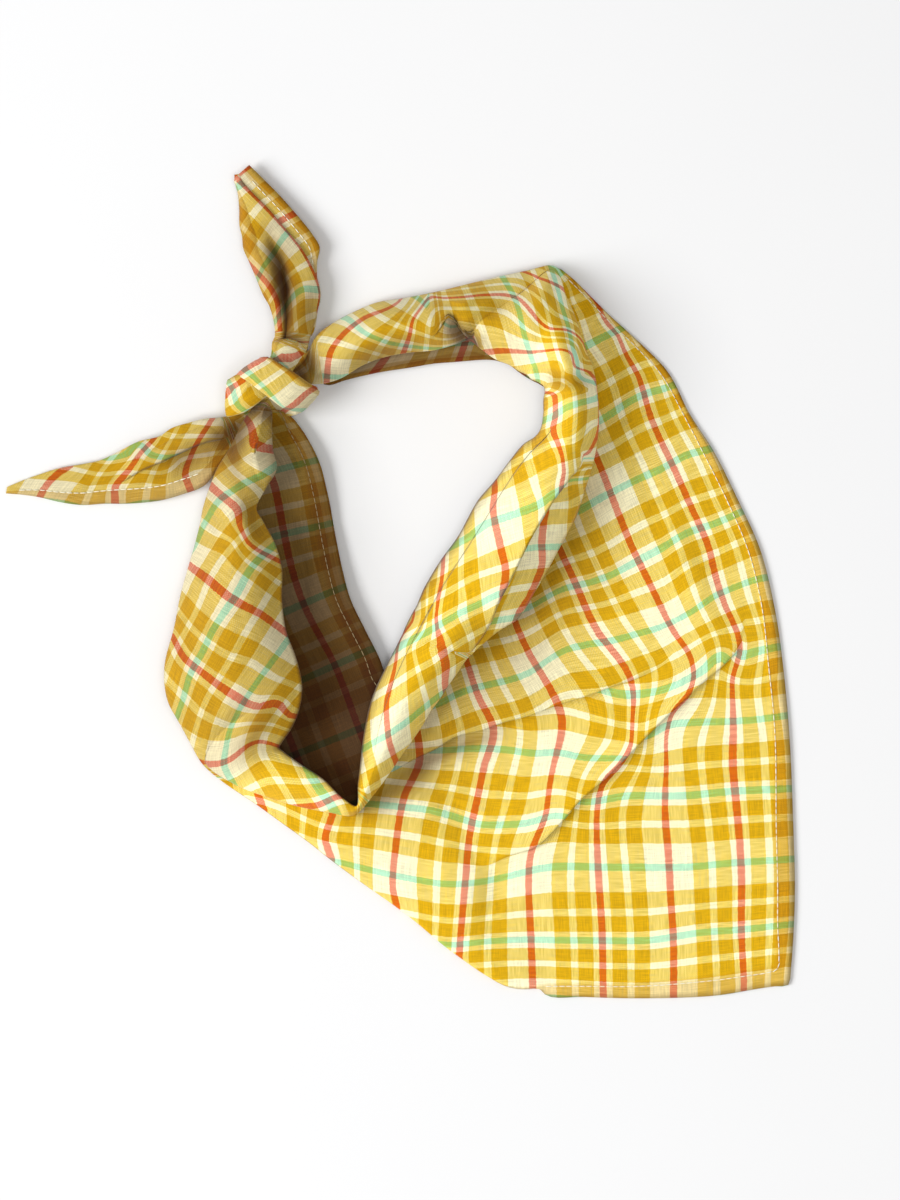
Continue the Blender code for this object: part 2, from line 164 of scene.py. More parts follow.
KNOT_TO_UPPER_END = [
    # one side (x, y, z), other side (x, y, z), thickness of the bundle, cells to the next
    ((-36.5, 85.5, 8), (-33.5, 73.5, 7.5), 7, 5),
    ((-43, 79.5, 9.5), (-40.5, 69.5, 9.5), 4.5, 5),
    ((-53, 77, 9.5), (-51.5, 67.5, 9.5), 4.5, 5),
    ((-59.5, 76.5, 9.5), (-59.5, 63, 9.5), 4, 5),
    ((-63, 75.5, 12), (-64, 61.5, 10), 2.5, 5),
    ((-58, 78, 14.5), (-57.5, 63, 13.5), 4, 4),
    ((-51.5, 80, 13.5), (-47.5, 70.5, 13.5), 4, 4),
    ((-47.5, 84, 11), (-40, 77, 11), 4.5, 4),
    ((-47, 89, 9), (-35, 84.5, 8), 6, 5),
]
UPPER_END = [
    # outline (x, y, z), inner fold (x, y, z), thickness of the bundle, edge of the strip beside it (x, y, z), cells
    ((-46, 93.5, 7), (-33, 92, 7), 6, (-34, 92, 4), 5),
    ((-48, 102.5, 6), (-30.5, 101, 6.5), 5.5, (-30.5, 101, 4), 5),
    ((-50.5, 107, 5.4), (-29.5, 107, 6.4), 5.3, (-30, 107, 4), 5),
    ((-53, 113, 5), (-30.5, 113, 6.3), 5, (-30.5, 113, 4), 5),
    ((-56, 120, 4.4), (-33.5, 119.5, 6.2), 4.8, (-30.5, 119.5, 4.5), 5),
    ((-58, 124.5, 4), (-36.5, 124.5, 6), 4.5, (-29.5, 125, 4.6), 5),
    ((-58.5, 129, 3.8), (-40.5, 129.5, 5.8), 4.3, (-32, 129.5, 4.6), 5),
    ((-59.5, 133.5, 3.5), (-43.5, 133, 5.6), 4, (-35, 133.5, 4.6), 5),
    ((-59.5, 139.5, 3.2), (-49, 139.5, 5.4), 3.6, (-40.5, 140, 4.6), 5),
    ((-60, 145.5, 3), (-55, 145.5, 5.2), 3.2, (-45.5, 145.5, 4.4), 5),
    ((-61, 149.5, 2.8), (-58.5, 149.5, 4.6), 2.2, (-50.5, 150.5, 4.2), 4),
    ((-61, 152.5, 2.6), (-60, 152.5, 4), 1.2, (-56, 156, 4), 1),
]

# Folds that lie on the visible face: x, y, how far the cloth overlaps, how high it stands. A point that has only
# x and y keeps the fold's place where the cloth is flat.
FLAT = (0, 0)
FOLD_GAP, FOLD_BACK = 0.5, 5.0  # least width of a fold's three lines, and of the slope behind its ridge
END_PLEAT = [
    (-105, 36), (-101, 39, 1, 0.6), (-97.5, 41, 2, 1.2), (-93.5, 43, 2.5, 1.5), (-88, 45, 3, 1.8),
    (-84, 47, 3, 2), (-80.5, 48.5, 3, 2), (-76.5, 50.5, 3, 2), (-72, 52, 2, 1.5), (-68.5, 54),
]
ARM_PLEAT = [
    (-50.5, 66.5, 0.8, 1), (-51.5, 60.5, 1.2, 2), (-53, 55, 1.4, 2.4), (-54.5, 49.5, 1.4, 2),
    (-54.5, 45, 0.8, 1), (-53.5, 39.5),
]
LONG_CREASE = [
    (-66.5, -74), (-64, -75), (-53.5, -81), (-39.5, -87), (-29, -91.5), (-20, -96), (-12.5, -96.5),
    (-2, -100.5), (12.5, -104), (22, -106.5), (33, -108), (38, -105, 0.1, 0.6), (50, -101, 0.6, 1.4),
    (57, -96.5, 0.9, 1.9), (66.5, -84, 1.1, 2.2), (77.5, -74.5, 1.2, 2.5), (90.5, -61.5, 1.2, 2.6),
    (98.5, -53, 1.2, 2.4), (106, -46.5, 1, 2.2), (113.5, -39, 0.8, 1.8), (119, -32.5, 0.5, 1.4),
    (124, -29, 0.3, 0.9), (129, -24.5, 0.1, 0.3), (133, -21.5), (130, -7), (125.5, 13), (118.5, 30.5),
    (110, 48), (103, 60.5), (95.5, 75.5), (86, 85.5), (76, 94.5), (69.5, 101), (65, 107.5), (62, 111.5),
    (60, 115), (57.5, 118.5),
]
SHORT_CREASE = [
    (-65, -74), (-62, -75), (-52, -80), (-37.5, -84.5), (-25.5, -87.5), (-17, -88), (-13, -81), (-9.5, -73),
    (-3.5, -72, 2, 2), (6, -67, 2.6, 3), (13.5, -63.5, 3, 3.6), (22.5, -58, 3, 4), (30.5, -56.5, 3, 4.2),
    (38, -53.5, 2.8, 4.2), (49.5, -50.5, 2.4, 4), (60, -46.5, 2, 3.6), (70, -43.5, 1.5, 3),
    (75.5, -41.5, 1.1, 2.5), (81.5, -39, 0.8, 1.9), (90.5, -35.5, 0.3, 0.8), (99, -32.5), (103, -28),
    (108.5, -15.5), (108, 1.5), (106, 18.5), (101, 34), (93.5, 48), (89, 58.5), (82.5, 70), (76, 78),
    (70.5, 86), (67, 93), (63.5, 101), (61.5, 107.5), (60, 113), (58, 117),
]
BAND_EDGE = [
    (70, 45), (65, 39, 0.8, 1), (60.5, 33.5, 1.5, 2), (55, 25, 2, 2.6), (50, 16.5, 2.2, 3), (45.5, 8, 2.2, 3),
    (42, -0.5, 2.2, 3), (38, -7, 2, 2.6), (35, -15.5, 1.4, 1.6), (30.5, -23, 0.8, 0.8), (26, -28),
]
COLLAR_PLEATS = [
    (60.5, 60.5), (55.5, 54, 0.5, 0.5), (48.5, 47, 0.7, 0.8), (42.5, 39, 0.8, 0.9), (36, 28.5, 0.8, 0.9),
    (30, 18.5, 0.8, 0.9), (23, 8, 0.8, 0.9), (17, -1.5, 0.8, 0.9), (10.5, -13, 0.8, 0.9),
    (3.5, -26.5, 0.8, 0.9), (-2, -38.5, 0.8, 0.9), (-5.5, -49, 0.7, 0.8), (-8, -59.5, 0.6, 0.7),
    (-9.5, -70, 0.5, 0.5), (-12.5, -79.5),
]
ARM_OVERLAP = [
    (12, 103), (15, 100.5, 0.8, 0.6), (19.5, 97.5, 1.4, 1.1), (23, 94, 1.8, 1.5), (25.5, 91.5, 2, 1.6),
    (28.5, 89, 2, 1.6),
]


def vec(*numbers):
    return np.array(numbers, float)


def mix(a, b, share):
    return a + (b - a) * share


def crossing(start, end, fold):
    """Where a section meets a fold: the share of its length, the overlap and the height there."""
    clear = 0.02  # a fold that meets a section nearer to its ends is left out
    run = (end - start)[:2]
    for (ax, ay, *near), (bx, by, *far) in zip(fold, fold[1:]):
        step, gap = vec(bx - ax, by - ay), vec(ax, ay) - start[:2]
        spread = run[0] * step[1] - run[1] * step[0]
        if abs(spread) < 1e-9:  # they lie side by side
            continue
        share = (gap[0] * step[1] - gap[1] * step[0]) / spread
        along = (gap[0] * run[1] - gap[1] * run[0]) / spread
        if 0 <= along <= 1 and clear < share < 1 - clear:
            return share, *mix(vec(*near or FLAT), vec(*far or FLAT), along)
    return None, *FLAT


def pinned_shares(count_from, count_to, pins):
    """Shares along a face for its places: the pinned ones where they are, the rest evenly by their cells."""
    total = np.concatenate([[0], np.cumsum(CELLS[count_from:count_to])]).astype(float)
    known = {0: 0.0, count_to - count_from: 1.0}
    known.update({place - count_from: share for place, share in pins.items()})
    keys = sorted(known)
    return np.interp(total, [total[k] for k in keys], np.maximum.accumulate([known[k] for k in keys]))


def face(start, end, first, last, folds, rise):
    """The places from first to last, laid from start to end over a rise, with the folds that they meet."""
    length = np.linalg.norm((end - start)[:2])
    pins, lifts, slips = {}, {}, {}
    for place, fold, under_first, has_back in folds:
        share, overlap, height = crossing(start, end, fold) if fold else (None, *FLAT)
        if share is None:
            continue
        slip, gap = overlap / length, max(FOLD_GAP - overlap, 0) / length
        for step in range(3):
            pins[place + step] = share + step * gap
        if has_back and height > 0:
            pins[place + 3] = min(share + max(slip * 1.3, FOLD_BACK / length), 0.99)
        if under_first:
            lifts[place + 1], lifts[place + 2] = 0.45 * height, height
            slips[place + 1] = slip
            if has_back:
                lifts[place + 3] = 0.5 * height
        else:
            lifts[place], lifts[place + 1] = height, 0.5 * height
            slips[place + 1] = -slip
    points = []
    for place, share in enumerate(pinned_shares(first, last, pins), first):
        share += slips.get(place, 0)
        point = mix(start, end, share) + rise(min(max(share, 0), 1))
        point[2] += lifts.get(place, 0)
        points.append(point)
    return points


def strand_section(edge, crest, thickness, travel, fold=None, strip=None):
    """A flattened bundle seen from above: its face, then the layers that come back beneath it."""
    up = np.cross(travel, crest - edge)
    up = up / np.linalg.norm(up) * thickness
    if strip is not None and up[2] < 0:  # the end that stands clear of the knot shows the same face again
        up = -up
    stitch_share = min(HEM / np.linalg.norm(crest - edge), 0.3)
    stitch = mix(edge, crest, stitch_share)

    def rise(share):
        whole = stitch_share + (1 - stitch_share) * share
        return up * math.sqrt(max(whole * (1 - whole), 0))

    def beneath(*shares):
        return [mix(edge, crest, s) - up * math.sqrt(s * (1 - s)) for s in shares]

    top = face(stitch, crest, STITCH, CREST, [(LONG, fold, True, True)], rise)
    if strip is None:
        return [edge, *top, *beneath(0.96, 0.7, 0.35, 0.15, 0.04)]
    inner = mix(crest, strip, -0.35)
    inner[2] = strip[2]
    strip_stitch = mix(strip, crest, 0.55)
    strip_stitch[2] = strip[2]
    return [edge, *top, *beneath(0.96, 0.75), inner, strip_stitch, strip]


def arch(start, end, crown):
    """The rise of a roll from one side to the other, with its crown in the middle."""
    def rise(share):
        return vec(0, 0, 4 * share * (1 - share) * (crown - (start[2] + end[2]) / 2))
    return rise


def layers_inside(outer, crest, loose, sole, upper, lower_share, hem_lift):
    """Under a roll: its sole and the layer below, by shares of its width and height, then the loose hem."""
    layers = []
    for share, height in (sole, upper):
        layers.append(mix(crest, outer, share))
        layers[-1][2] = mix(loose[2], crest[2], height)
    lower = mix(crest, outer, lower_share)
    lower[2] = loose[2] + 0.6
    away = (crest - loose)[:2]
    reach = max(np.linalg.norm(away), 0.1)
    stitch = vec(*(loose[:2] + away * min(HEM / reach, 0.45)), loose[2] + hem_lift)
    return [*layers, lower, stitch, loose]


def arm_section(outline, crest, crown, loose, spread, folds):
    """An arched face with its hem tucked flat beneath, and a loose layer that comes out past the crest."""
    outline, crest, loose = vec(*outline), vec(*crest), vec(*loose)
    rise = arch(outline, crest, crown)
    shown = face(outline, crest, STITCH, CREST, folds, rise)
    if spread < 1:  # towards the bib the places that will part there run together at the outline
        shares = pinned_shares(STITCH, CREST, {LIP: 0.04})
        gathered = [mix(outline, crest, s) + rise(s) for s in shares]
        shown = [mix(g, e, spread) for g, e in zip(gathered, shown)]
    hem = mix(outline, crest, 0.3)
    hem[2] = 0.8
    return [hem, *shown, *layers_inside(outline, crest, loose, (0.06, 0.55), (0.4, 0.3), 0.04, 0.4)]


def bib_section(hem, line, lip, tuck, crest, crown, loose):
    """The flat bib, its tuck under the collar, the collar's roll, and the layers inside that."""
    hem, line = vec(*hem, 0.7), vec(*line, 0.7)
    lip, crest, loose = vec(*lip), vec(*crest), vec(*loose)
    folded = np.linalg.norm((line - hem)[:2]) > 1.6 * HEM  # the hem is turned right under, beside the left arm
    level = 2.0 if folded else 0.8
    line[2] = level + 0.3 if folded else level
    roll = (crest - lip)[:2]
    span = np.linalg.norm(roll)
    inner = lip[:2] + roll / span * min(tuck, span * 0.6)
    tuck_low = vec(*inner, level + 0.6)
    tuck_high = vec(*inner, mix(level, lip[2], 0.5))
    length = np.linalg.norm((tuck_low - line)[:2])

    def lie(share):  # a wide piece of the bib swells by 1.4 mm, and one under 60 mm by less
        return vec(0, 0, 1.4 * math.sin(math.pi * share) * min(length / 60, 1))

    creases = [(LONG, LONG_CREASE, True, True), (SHORT, SHORT_CREASE, True, True)]
    folds = [(BAND, BAND_EDGE, True, False), (PLEAT, COLLAR_PLEATS, False, False)]
    return [
        hem, *face(line, tuck_low, STITCH, LIP_LOW, creases, lie), tuck_high,
        *face(lip, crest, LIP, CREST, folds, arch(lip, crest, crown)),
        *layers_inside(lip, crest, loose, (0.3, 0.7), (0.6, 0.4), 0.25, 0.3),
    ]


def smooth_rows(rows, counts):
    """Rows of points with more rows between them, on centripetal Catmull-Rom curves."""
    shortest = 0.02  # points that fall together still count as this far apart
    padded = np.concatenate([[2 * rows[0] - rows[1]], rows, [2 * rows[-1] - rows[-2]]])
    result = []
    for number, count in enumerate(counts):
        p = padded[number:number + 4]
        knots = [np.zeros(p.shape[1])]
        for a, b in zip(p, p[1:]):
            knots.append(knots[-1] + np.maximum(np.linalg.norm(b - a, axis=1), shortest) ** 0.5)
        k = [knot[:, None] for knot in knots]
        for step in range(count):
            t = k[1] + (k[2] - k[1]) * step / count
            a = [mix(p[i], p[i + 1], (t - k[i]) / (k[i + 1] - k[i])) for i in range(3)]
            b = [mix(a[i], a[i + 1], (t - k[i]) / (k[i + 2] - k[i])) for i in range(2)]
            result.append(mix(b[0], b[1], (t - k[1]) / (k[2] - k[1])))
    result.append(rows[-1])
    return np.array(result)


# Which stretch of the check each section shows in its seven parts: to the long crease, between the creases, above
# them, the band beside the lip, the collar's face, its inner pleats, and the loose layer
END = ("end", "end high", "end high", "end high", "end high", "end high", "end high")
BAND_OF_KNOT = ("band",) * 7
BULGE = ("bulge",) * 7
LEFT_FACE = ("left",) * 6 + ("dark",)
FIRST_BIB = ("bib low",) * 3 + ("left",) * 3 + ("dark",)
LOW_BIB = ("bib low",) * 3 + ("collar",) * 3 + ("dark",)
MIDDLE_BIB = ("bib low", "bib middle", "bib high", "collar", "collar", "collar", "dark")
CREASED_BIB = ("bib low", "bib middle", "bib high", "strip", "collar", "collar", "dark")
HIGH_BIB = ("bib high",) * 3 + ("strip", "collar", "collar", "dark")
TOP_BIB = ("bib high",) * 3 + ("collar",) * 3 + ("dark",)
GATHERED = ("bib high",) * 3 + ("gathers",) * 3 + ("edge",)
TURN = ("bib high",) * 3 + ("upper",) * 3 + ("edge",)
BIB_SHOWS = [shows for shows, count in (
    (FIRST_BIB, 5), (LOW_BIB, 2), (MIDDLE_BIB, 7), (CREASED_BIB, 8), (HIGH_BIB, 4), (TOP_BIB, 3), (GATHERED, 1),
    (TURN, 4),
) for _ in range(count)]
RIGHT_FACE = ("upper",) * 6 + ("edge",)
FAR_FACE = ("upper",) * 4 + ("far", "far", "edge")
FAR_END_FACE = ("far",) * 6 + ("edge",)
TIP = ("tip",) * 6 + ("strips",)


def sections():
    """Every cross-section in order, how many cells lead to the next, and what it shows."""
    arm_folds, upper_folds = [(PLEAT, ARM_PLEAT, True, False)], [(BAND, ARM_OVERLAP, False, False)]
    upper_shows = [RIGHT_FACE] * 4 + [FAR_FACE] * 2 + [FAR_END_FACE] * (len(UPPER_ARM) - 6)
    # one side, the other side, the points, cells to the next, what shows; a strand has its thickness for its points
    made = [(*row[:3], row[3], END, END_PLEAT) for row in LEFT_END]
    made += [(*row[:3], row[3], BAND_OF_KNOT) for row in KNOT_FROM_LEFT_END]
    made += [(row[0], row[1], arm_section(*row[:-1], arm_folds), row[-1], LEFT_FACE) for row in LEFT_ARM]
    made += [(row[2], row[4], bib_section(*row[:-1]), row[-1], shows)
             for row, shows in zip(BIB_AND_COLLAR, BIB_SHOWS)]
    made += [(row[0], row[1], arm_section(*row[:-1], upper_folds), row[-1], shows)
             for row, shows in zip(UPPER_ARM, upper_shows)]
    made += [(*row[:3], row[3], BULGE) for row in KNOT_TO_UPPER_END]
    made += [(*row[:3], row[4], TIP, None, vec(*row[3])) for row in UPPER_END]
    rows = []
    for number, (edge, crest, points, _, _, *fold_and_strip) in enumerate(made):
        if not isinstance(points, list):
            before, after = made[max(number - 1, 0)], made[min(number + 1, len(made) - 1)]
            travel = (vec(*after[0]) + vec(*after[1]) - vec(*before[0]) - vec(*before[1])) / 2
            points = strand_section(vec(*edge), vec(*crest), points, travel, *fold_and_strip)
        rows.append(np.array(points))
    return np.array(rows), [row[3] for row in made[:-1]], [row[4] for row in made]


key_rows, row_counts, key_shows = sections()
cloth_points = smooth_rows(key_rows, row_counts)
cloth_points = smooth_rows(cloth_points.transpose(1, 0, 2), CELLS).transpose(1, 0, 2)
ROWS, COLUMNS = cloth_points.shape[:2]
FIRST_CELL = np.concatenate([[0], np.cumsum(CELLS)])


# Where the coloured threads lie. On the tied cloth each stripe is followed through a few points, and the flat
# place of every other point is spread smoothly between.
FIRST_RED, FIRST_MINT = 19.2, 24.4


def red(number):
    return FIRST_RED + REPEAT / 2 * number


def mint(number):
    return FIRST_MINT + REPEAT / 2 * number


# A table named for a colour gives each stripe's number and its points (x, y); a number between two stripes is the
# fine light line there. The other tables give x, y and the place in the flat square.
BIB_RED = {
    0: [(74.5, 105), (82.5, 92.5), (90, 77.5), (98.5, 53), (107.5, 33.5), (116, 14.5), (119, 2.5), (123, -10),
        (128.5, -25), (125.5, -37), (126, -56), (127, -82.5), (129, -108.5), (129, -131), (130, -152)],
    1: [(74.5, 46.5), (81.5, 28.5), (89, 10), (96.5, -5), (104, -20), (109.5, -28), (111, -37), (108, -44),
        (103, -49.5), (100.5, -59.5), (100.5, -75), (101.5, -101), (102.5, -120), (103.5, -135),
        (103.5, -153.5)],
    2: [(60.5, 12.5), (67, -1.5), (75.5, -20), (86, -34), (88.5, -44.5), (87.5, -61.5), (82.5, -70), (77, -76),
        (74.5, -90), (75, -105), (76.5, -127.5), (77, -150)],
    3: [(43.5, -14.5), (49.5, -28), (59, -44.5), (61.5, -52), (59, -67), (55.5, -88), (50, -102), (49, -112.5),
        (50, -135), (50.5, -150)],
    4: [(25.5, -29.5), (30.5, -44.5), (36, -56), (32.5, -69), (28, -90), (25.5, -110.5), (24, -127.5),
        (23, -140.5)],
    5: [(7.5, -59), (8, -68.5), (2.5, -80.5), (-1, -101), (-2, -116), (-0.5, -122)],
    6: [(-24.5, -88), (-27.5, -97.5), (-25, -104)],
    7: [(-52, -82.5), (-50, -87)],
}
BIB_MINT_LOW = {
    0: [(147, -129.5), (128.5, -131.5), (113.5, -132.5), (94.5, -135.5), (60.5, -135.5), (30.5, -136),
        (19.5, -137)],
    1: [(147, -105), (124.5, -106.5), (109.5, -108), (90.5, -108), (53, -108.5), (36, -112.5), (15.5, -114),
        (-1.5, -111), (-14.5, -108), (-22, -106)],
    2: [(147, -78.5), (124.5, -79.5), (109.5, -81), (83, -81.5), (71, -83.5), (30.5, -90), (12, -86.5),
        (-12.5, -84)],
    3: [(145.5, -51), (128.5, -53), (113.5, -53.5), (100, -55), (92.5, -59)],
    4: [(144, -25), (134, -27), (127.5, -28.5)],
}
BIB_MINT_MIDDLE = {
    2: [(60.5, -88.5), (49.5, -91)],
    3: [(85, -67), (68, -66.5), (45.5, -64.5), (17.5, -64)],
    4: [(121.5, -28), (114.5, -34), (103, -40), (90.5, -43), (78.5, -42)],
}
BIB_MINT_HIGH = {
    5: [(139, 1), (128.5, -2), (119, -6), (109.5, -12.5), (90.5, -20), (72, -24), (53, -32.5), (38, -38.5),
        (21, -43.5), (15.5, -46.5)],
    6: [(129, 25.5), (117, 20.5), (103, 14.5), (90.5, 7.5), (70, -1.5), (55, -7), (47.5, -11)],
    7: [(118, 49.5), (107.5, 46.5), (90.5, 38), (75.5, 30.5), (68, 26)],
    8: [(104.5, 73.5), (96.5, 71), (83, 64.5), (77, 60.5)],
    9: [(86, 95.5), (75.5, 90.5), (71, 88)],
    10: [(61.5, 116), (60, 114.5)],
}
BIB_SIDE_HEM = [
    (62, 116, 27), (66.5, 112.5, 22.5), (72, 107, 20), (79.5, 99.5, 15), (85, 95, 10.5), (90.5, 89.5, 7),
    (97, 84, 4), (101.5, 78.5, 2.5), (109.5, 62.5, 1.5), (118, 49.5, 1), (126.5, 30.5, 0.5), (136, 11.5, 0),
    (141.5, -11, 0), (144.5, -31.5, 0), (147, -59.5, 0), (148.5, -95.5, 0), (149, -116, 0), (148.5, -132, 0),
    (146.5, -152, 0), (63, 109.5, 33), (65.5, 105.5, 29.5), (72, 89, 29.5), (66.5, 109.5, 25), (71.5, 102, 25),
    (78, 67, 33.5), (82, 56, 33.5),
]
BIB_LOWER_HEM = [
    (55.5, -155.5, 0), (70, -156.5, 0), (92.5, -157.5, 0), (119, -156, 0), (134.5, -153.5, 0), (146.5, -152, 0),
    (21.5, -140, 20.5), (5.5, -127, 33), (-24, -105.5, 50.5), (-37, -94.5, 59.5), (-59.5, -79.5, 68.5),
    (-51, -80.5, 69), (-26, -88.5, 71.5),
]
# The cloth hidden in each crease: x, and how far the weft skips there
LONG_JUMP = [(23, 0), (33, 2.5), (49, 8.5), (61, 7), (83, 11.5), (101, 13), (119, 7.5), (128.5, 3), (136.5, 0)]
SHORT_JUMP = [(0.5, 35.5), (15.5, 33), (38, 26.5), (60.5, 16), (75.5, 11.5), (88.5, 5.5), (106, 0)]

LEFT_RED = {
    13: [(-57, 60.5), (-54.5, 55), (-54.5, 50.5)],
    12: [(-70, 35), (-64, 30), (-59.5, 25.5), (-59, 20), (-56.5, 14.5), (-50.5, 10), (-44.5, 7)],
    11: [(-78.5, 5.5), (-71.5, 0.5), (-63.5, -6), (-56.5, -10), (-51.5, -12.5), (-41.5, -20)],
    10: [(-84.5, -21), (-80.5, -28.5), (-73.5, -34), (-65.5, -40), (-59, -44), (-51.5, -47.5), (-47.5, -46),
         (-44, -46), (-41, -50.5)],
    9: [(-74.5, -68.5), (-71.5, -69), (-63.5, -67.5), (-60.5, -65.5), (-56.5, -62), (-52, -60), (-47, -61)],
    8: [(-37, -85), (-29.5, -84), (-23, -81)],
    10.4: [(-78.5, -16.5), (-73, -21.5), (-63.5, -28), (-54, -31), (-44.5, -37)],
    11.6: [(-73, 21), (-67, 17), (-61, 14), (-51.5, 4), (-45.5, -0.5)],
    9.6: [(-79, -44.5), (-74.5, -49), (-66.5, -53), (-61, -54.5)],
}
LEFT_SIDE = [
    (-51.5, 66.5, 366.5), (-50.5, 64.5, 364), (-47.5, 57, 361.5), (-61, 53, 348), (-47, 47.5, 355.5),
    (-49, 34.5, 344),
]
LEFT_MINT = {
    1: [(-50, 40), (-58, 36), (-62.5, 33), (-66.5, 30.5), (-70, 25.5), (-73, 20.5), (-76, 13.5)],
    2: [(-49, 11), (-53.5, 6.5), (-58.5, -2), (-61, -6.5), (-66, -13.5), (-69.5, -19), (-73, -26.5),
        (-77.5, -34.5), (-80.5, -44.5)],
    3: [(-42, -23), (-45.5, -28), (-53.5, -39), (-59, -47.5), (-63.5, -58), (-64.5, -63.5), (-65.5, -69),
        (-62.5, -75)],
    4: [(-33.5, -72), (-30, -78), (-24.5, -85.5)],
    2.4: [(-47.5, -3.5), (-54.5, -15.5), (-61.5, -28), (-67, -37), (-73, -47.5)],
    1.6: [(-61, 13.5), (-66.5, 7), (-71, -0.5), (-76, -12.5)],
    3.6: [(-51.5, -63.5), (-48.5, -69), (-42.5, -78.5)],
}
COLLAR_RED = {
    7: [(6, -14.5), (-0.5, -29.5), (-4, -44.5), (-3, -61.5), (-0.5, -69)],
    6: [(16.5, 0.5), (15, -7), (14, -14.5), (16, -22), (18, -31.5), (17.5, -41)],
    5: [(36.5, 34.5), (35.5, 27), (36.5, 21), (39, 10), (40.5, 2.5), (39, -5)],
    4: [(59, 60.5), (58, 56), (60, 51), (61.5, 45.5), (62, 40), (61, 36)],
    3: [(71, 46.5), (74, 53), (75.5, 62.5), (75, 70)],
    6.4: [(6, -24), (7, -31.5), (9.5, -41), (11, -46.5)],
    5.6: [(23.5, 2.5), (24.5, -7), (27, -20)],
    4.4: [(48.5, 45), (51, 36), (53.5, 27.5)],
}
COLLAR_MINT = {
    7: [(-10, -61.5), (2.5, -53.5), (15.5, -43)],
    8: [(2.5, -24), (12, -19), (19.5, -14.5), (25, -11.5), (31.5, -8.5), (38, -5)],
    9: [(27, 16), (32.5, 20.5), (38, 22.5), (45.5, 25), (53, 28), (57.5, 31.5)],
    10: [(59, 61.5), (62.5, 64), (66.5, 65.5), (72, 67)],
    7.6: [(0.5, -38), (12, -31), (24, -23)],
    8.4: [(19.5, -4), (28.5, 1), (37.5, 4), (43.5, 6)],
    9.6: [(42.5, 43), (49.5, 46.5), (57.5, 50.5), (66.5, 52.5), (72, 58)],
}
STRIP_RED = {
    3: [(54.5, 23), (53.5, 13.5), (54, 6), (51.5, -0.5), (48.5, -7), (45, -12)],
}
STRIP_SIDE = [
    (66.5, 30.5, 85), (71, 42, 80), (62, 15.5, 89.5), (45.5, 11.5, 105.5), (39, -7, 107), (34.5, -15.5, 109),
    (72.5, 47.5, 92.5), (75, 53, 94),
]
STRIP_MINT = {
    7: [(49.5, 12), (60.5, 12.5)],
    6: [(34.5, -15.5), (43.5, -14)],
    8: [(64.5, 37.5), (72, 38.5)],
    9: [(67.5, 45.5), (73.5, 48.5)],
    7.6: [(57, 27.5), (65, 28)],
    6.4: [(42.5, -3.5), (48.5, -2.5)],
}
DARK_RED = {
    19: [(-47.5, 38), (-44.5, 25), (-41.5, 10), (-36.5, -7), (-25, -29.5), (-16, -53)],
}
DARK_MINT = {
    7: [(-44.5, 42), (-30.5, 45.5)],
    8: [(-47.5, 16.5), (-24, 22)],
    9: [(-42.5, -11.5), (-20, -2)],
    10: [(-35, -36.5), (-12.5, -26.5)],
}
DARK_HEM = [(*LEFT_ARM[row][3][:2], SQUARE) for row in (0, 1, 2, 4, 7, 9, 11)]  # the loose hem itself

UPPER_RED = {
    1: [(46, 116), (53, 113), (61, 109.5), (15.5, 112), (30.5, 114.5)],
    2: [(10, 104), (15.5, 105.5), (30.5, 106.5), (44, 106), (57, 93.5), (70.5, 82)],
    3: [(29.5, 85.5), (38, 86), (47.5, 85.5), (59, 86), (65, 84)],
}
UPPER_MINT = {
    11: [(40.5, 111.5), (44.5, 104), (48, 89), (51.5, 79.5)],
    10: [(61.5, 101), (63.5, 94.5), (65, 87)],
    12: [(15.5, 104), (19.5, 90)],
}
GATHER_WARP = [
    (49.5, 78.5, 113), (59, 79.5, 110), (68, 80, 98.5), (49.5, 75.5, 117.5), (60.5, 74.5, 114.5),
    (71, 74, 101.5), (55, 70, 123), (58, 67, 123), (61.5, 63.5, 123), (66.5, 67.5, 113), (72.5, 67.5, 102.5),
]
GATHER_WEFT = [
    (51.5, 79.5, 310), (55, 74, 306.5), (55, 68, 301), (65, 86, 284), (63.5, 76.5, 289.5), (63.5, 69, 291.5),
    (72, 78.5, 276.5), (72.5, 69, 282), (66.5, 65.5, 284),
]
FAR_RED = {
    1: [(0.5, 104.5), (-11, 99), (-20, 92.5), (-25.5, 85), (-27, 74.5)],
    2: [(2, 86), (4.5, 92.5), (5.5, 97.5), (10, 104)],
    3: [(27, 89), (26, 94.5)],
}
FAR_MINT = {
    12: [(-18.5, 98), (-12.5, 92.5), (-3.5, 89), (8, 87.5), (17.5, 87.5), (25, 90.5)],
    13: [(-23, 76.5), (-18.5, 77), (-14, 78.5)],
    11: [(8, 105.5), (15.5, 98), (21, 94.5)],
}
EDGE_RED = {
    4: [(26, 91.5), (23, 83)],
    5: [(-5, 83), (-10, 77)],
}
EDGE_HEM = [
    (38, 83, 530), (23, 82, 530), (8, 80.5, 530), (-5, 78, 530), (-20, 75.5, 530), (38, 89, 519), (23, 88, 519),
    (8, 86.5, 519), (-5, 84, 519), (-20, 81, 519),
]
END_RED = {
    19: [(-134.5, 31.5), (-133, 34.5), (-131.5, 36.5), (-129, 39), (-126.5, 41), (-123.5, 42.5)],
    18: [(-106, 29.5), (-106.5, 32.5), (-106.5, 35), (-105, 37), (-100, 42.5), (-97.5, 46.5), (-94.5, 50),
         (-91.5, 53)],
    17: [(-77.5, 33.5), (-80, 40), (-79, 43.5), (-76.5, 49.5)],
}
END_MINT = {
    0: [(-108.5, 45.5), (-101, 47.5), (-93.5, 47), (-88, 46)],
}
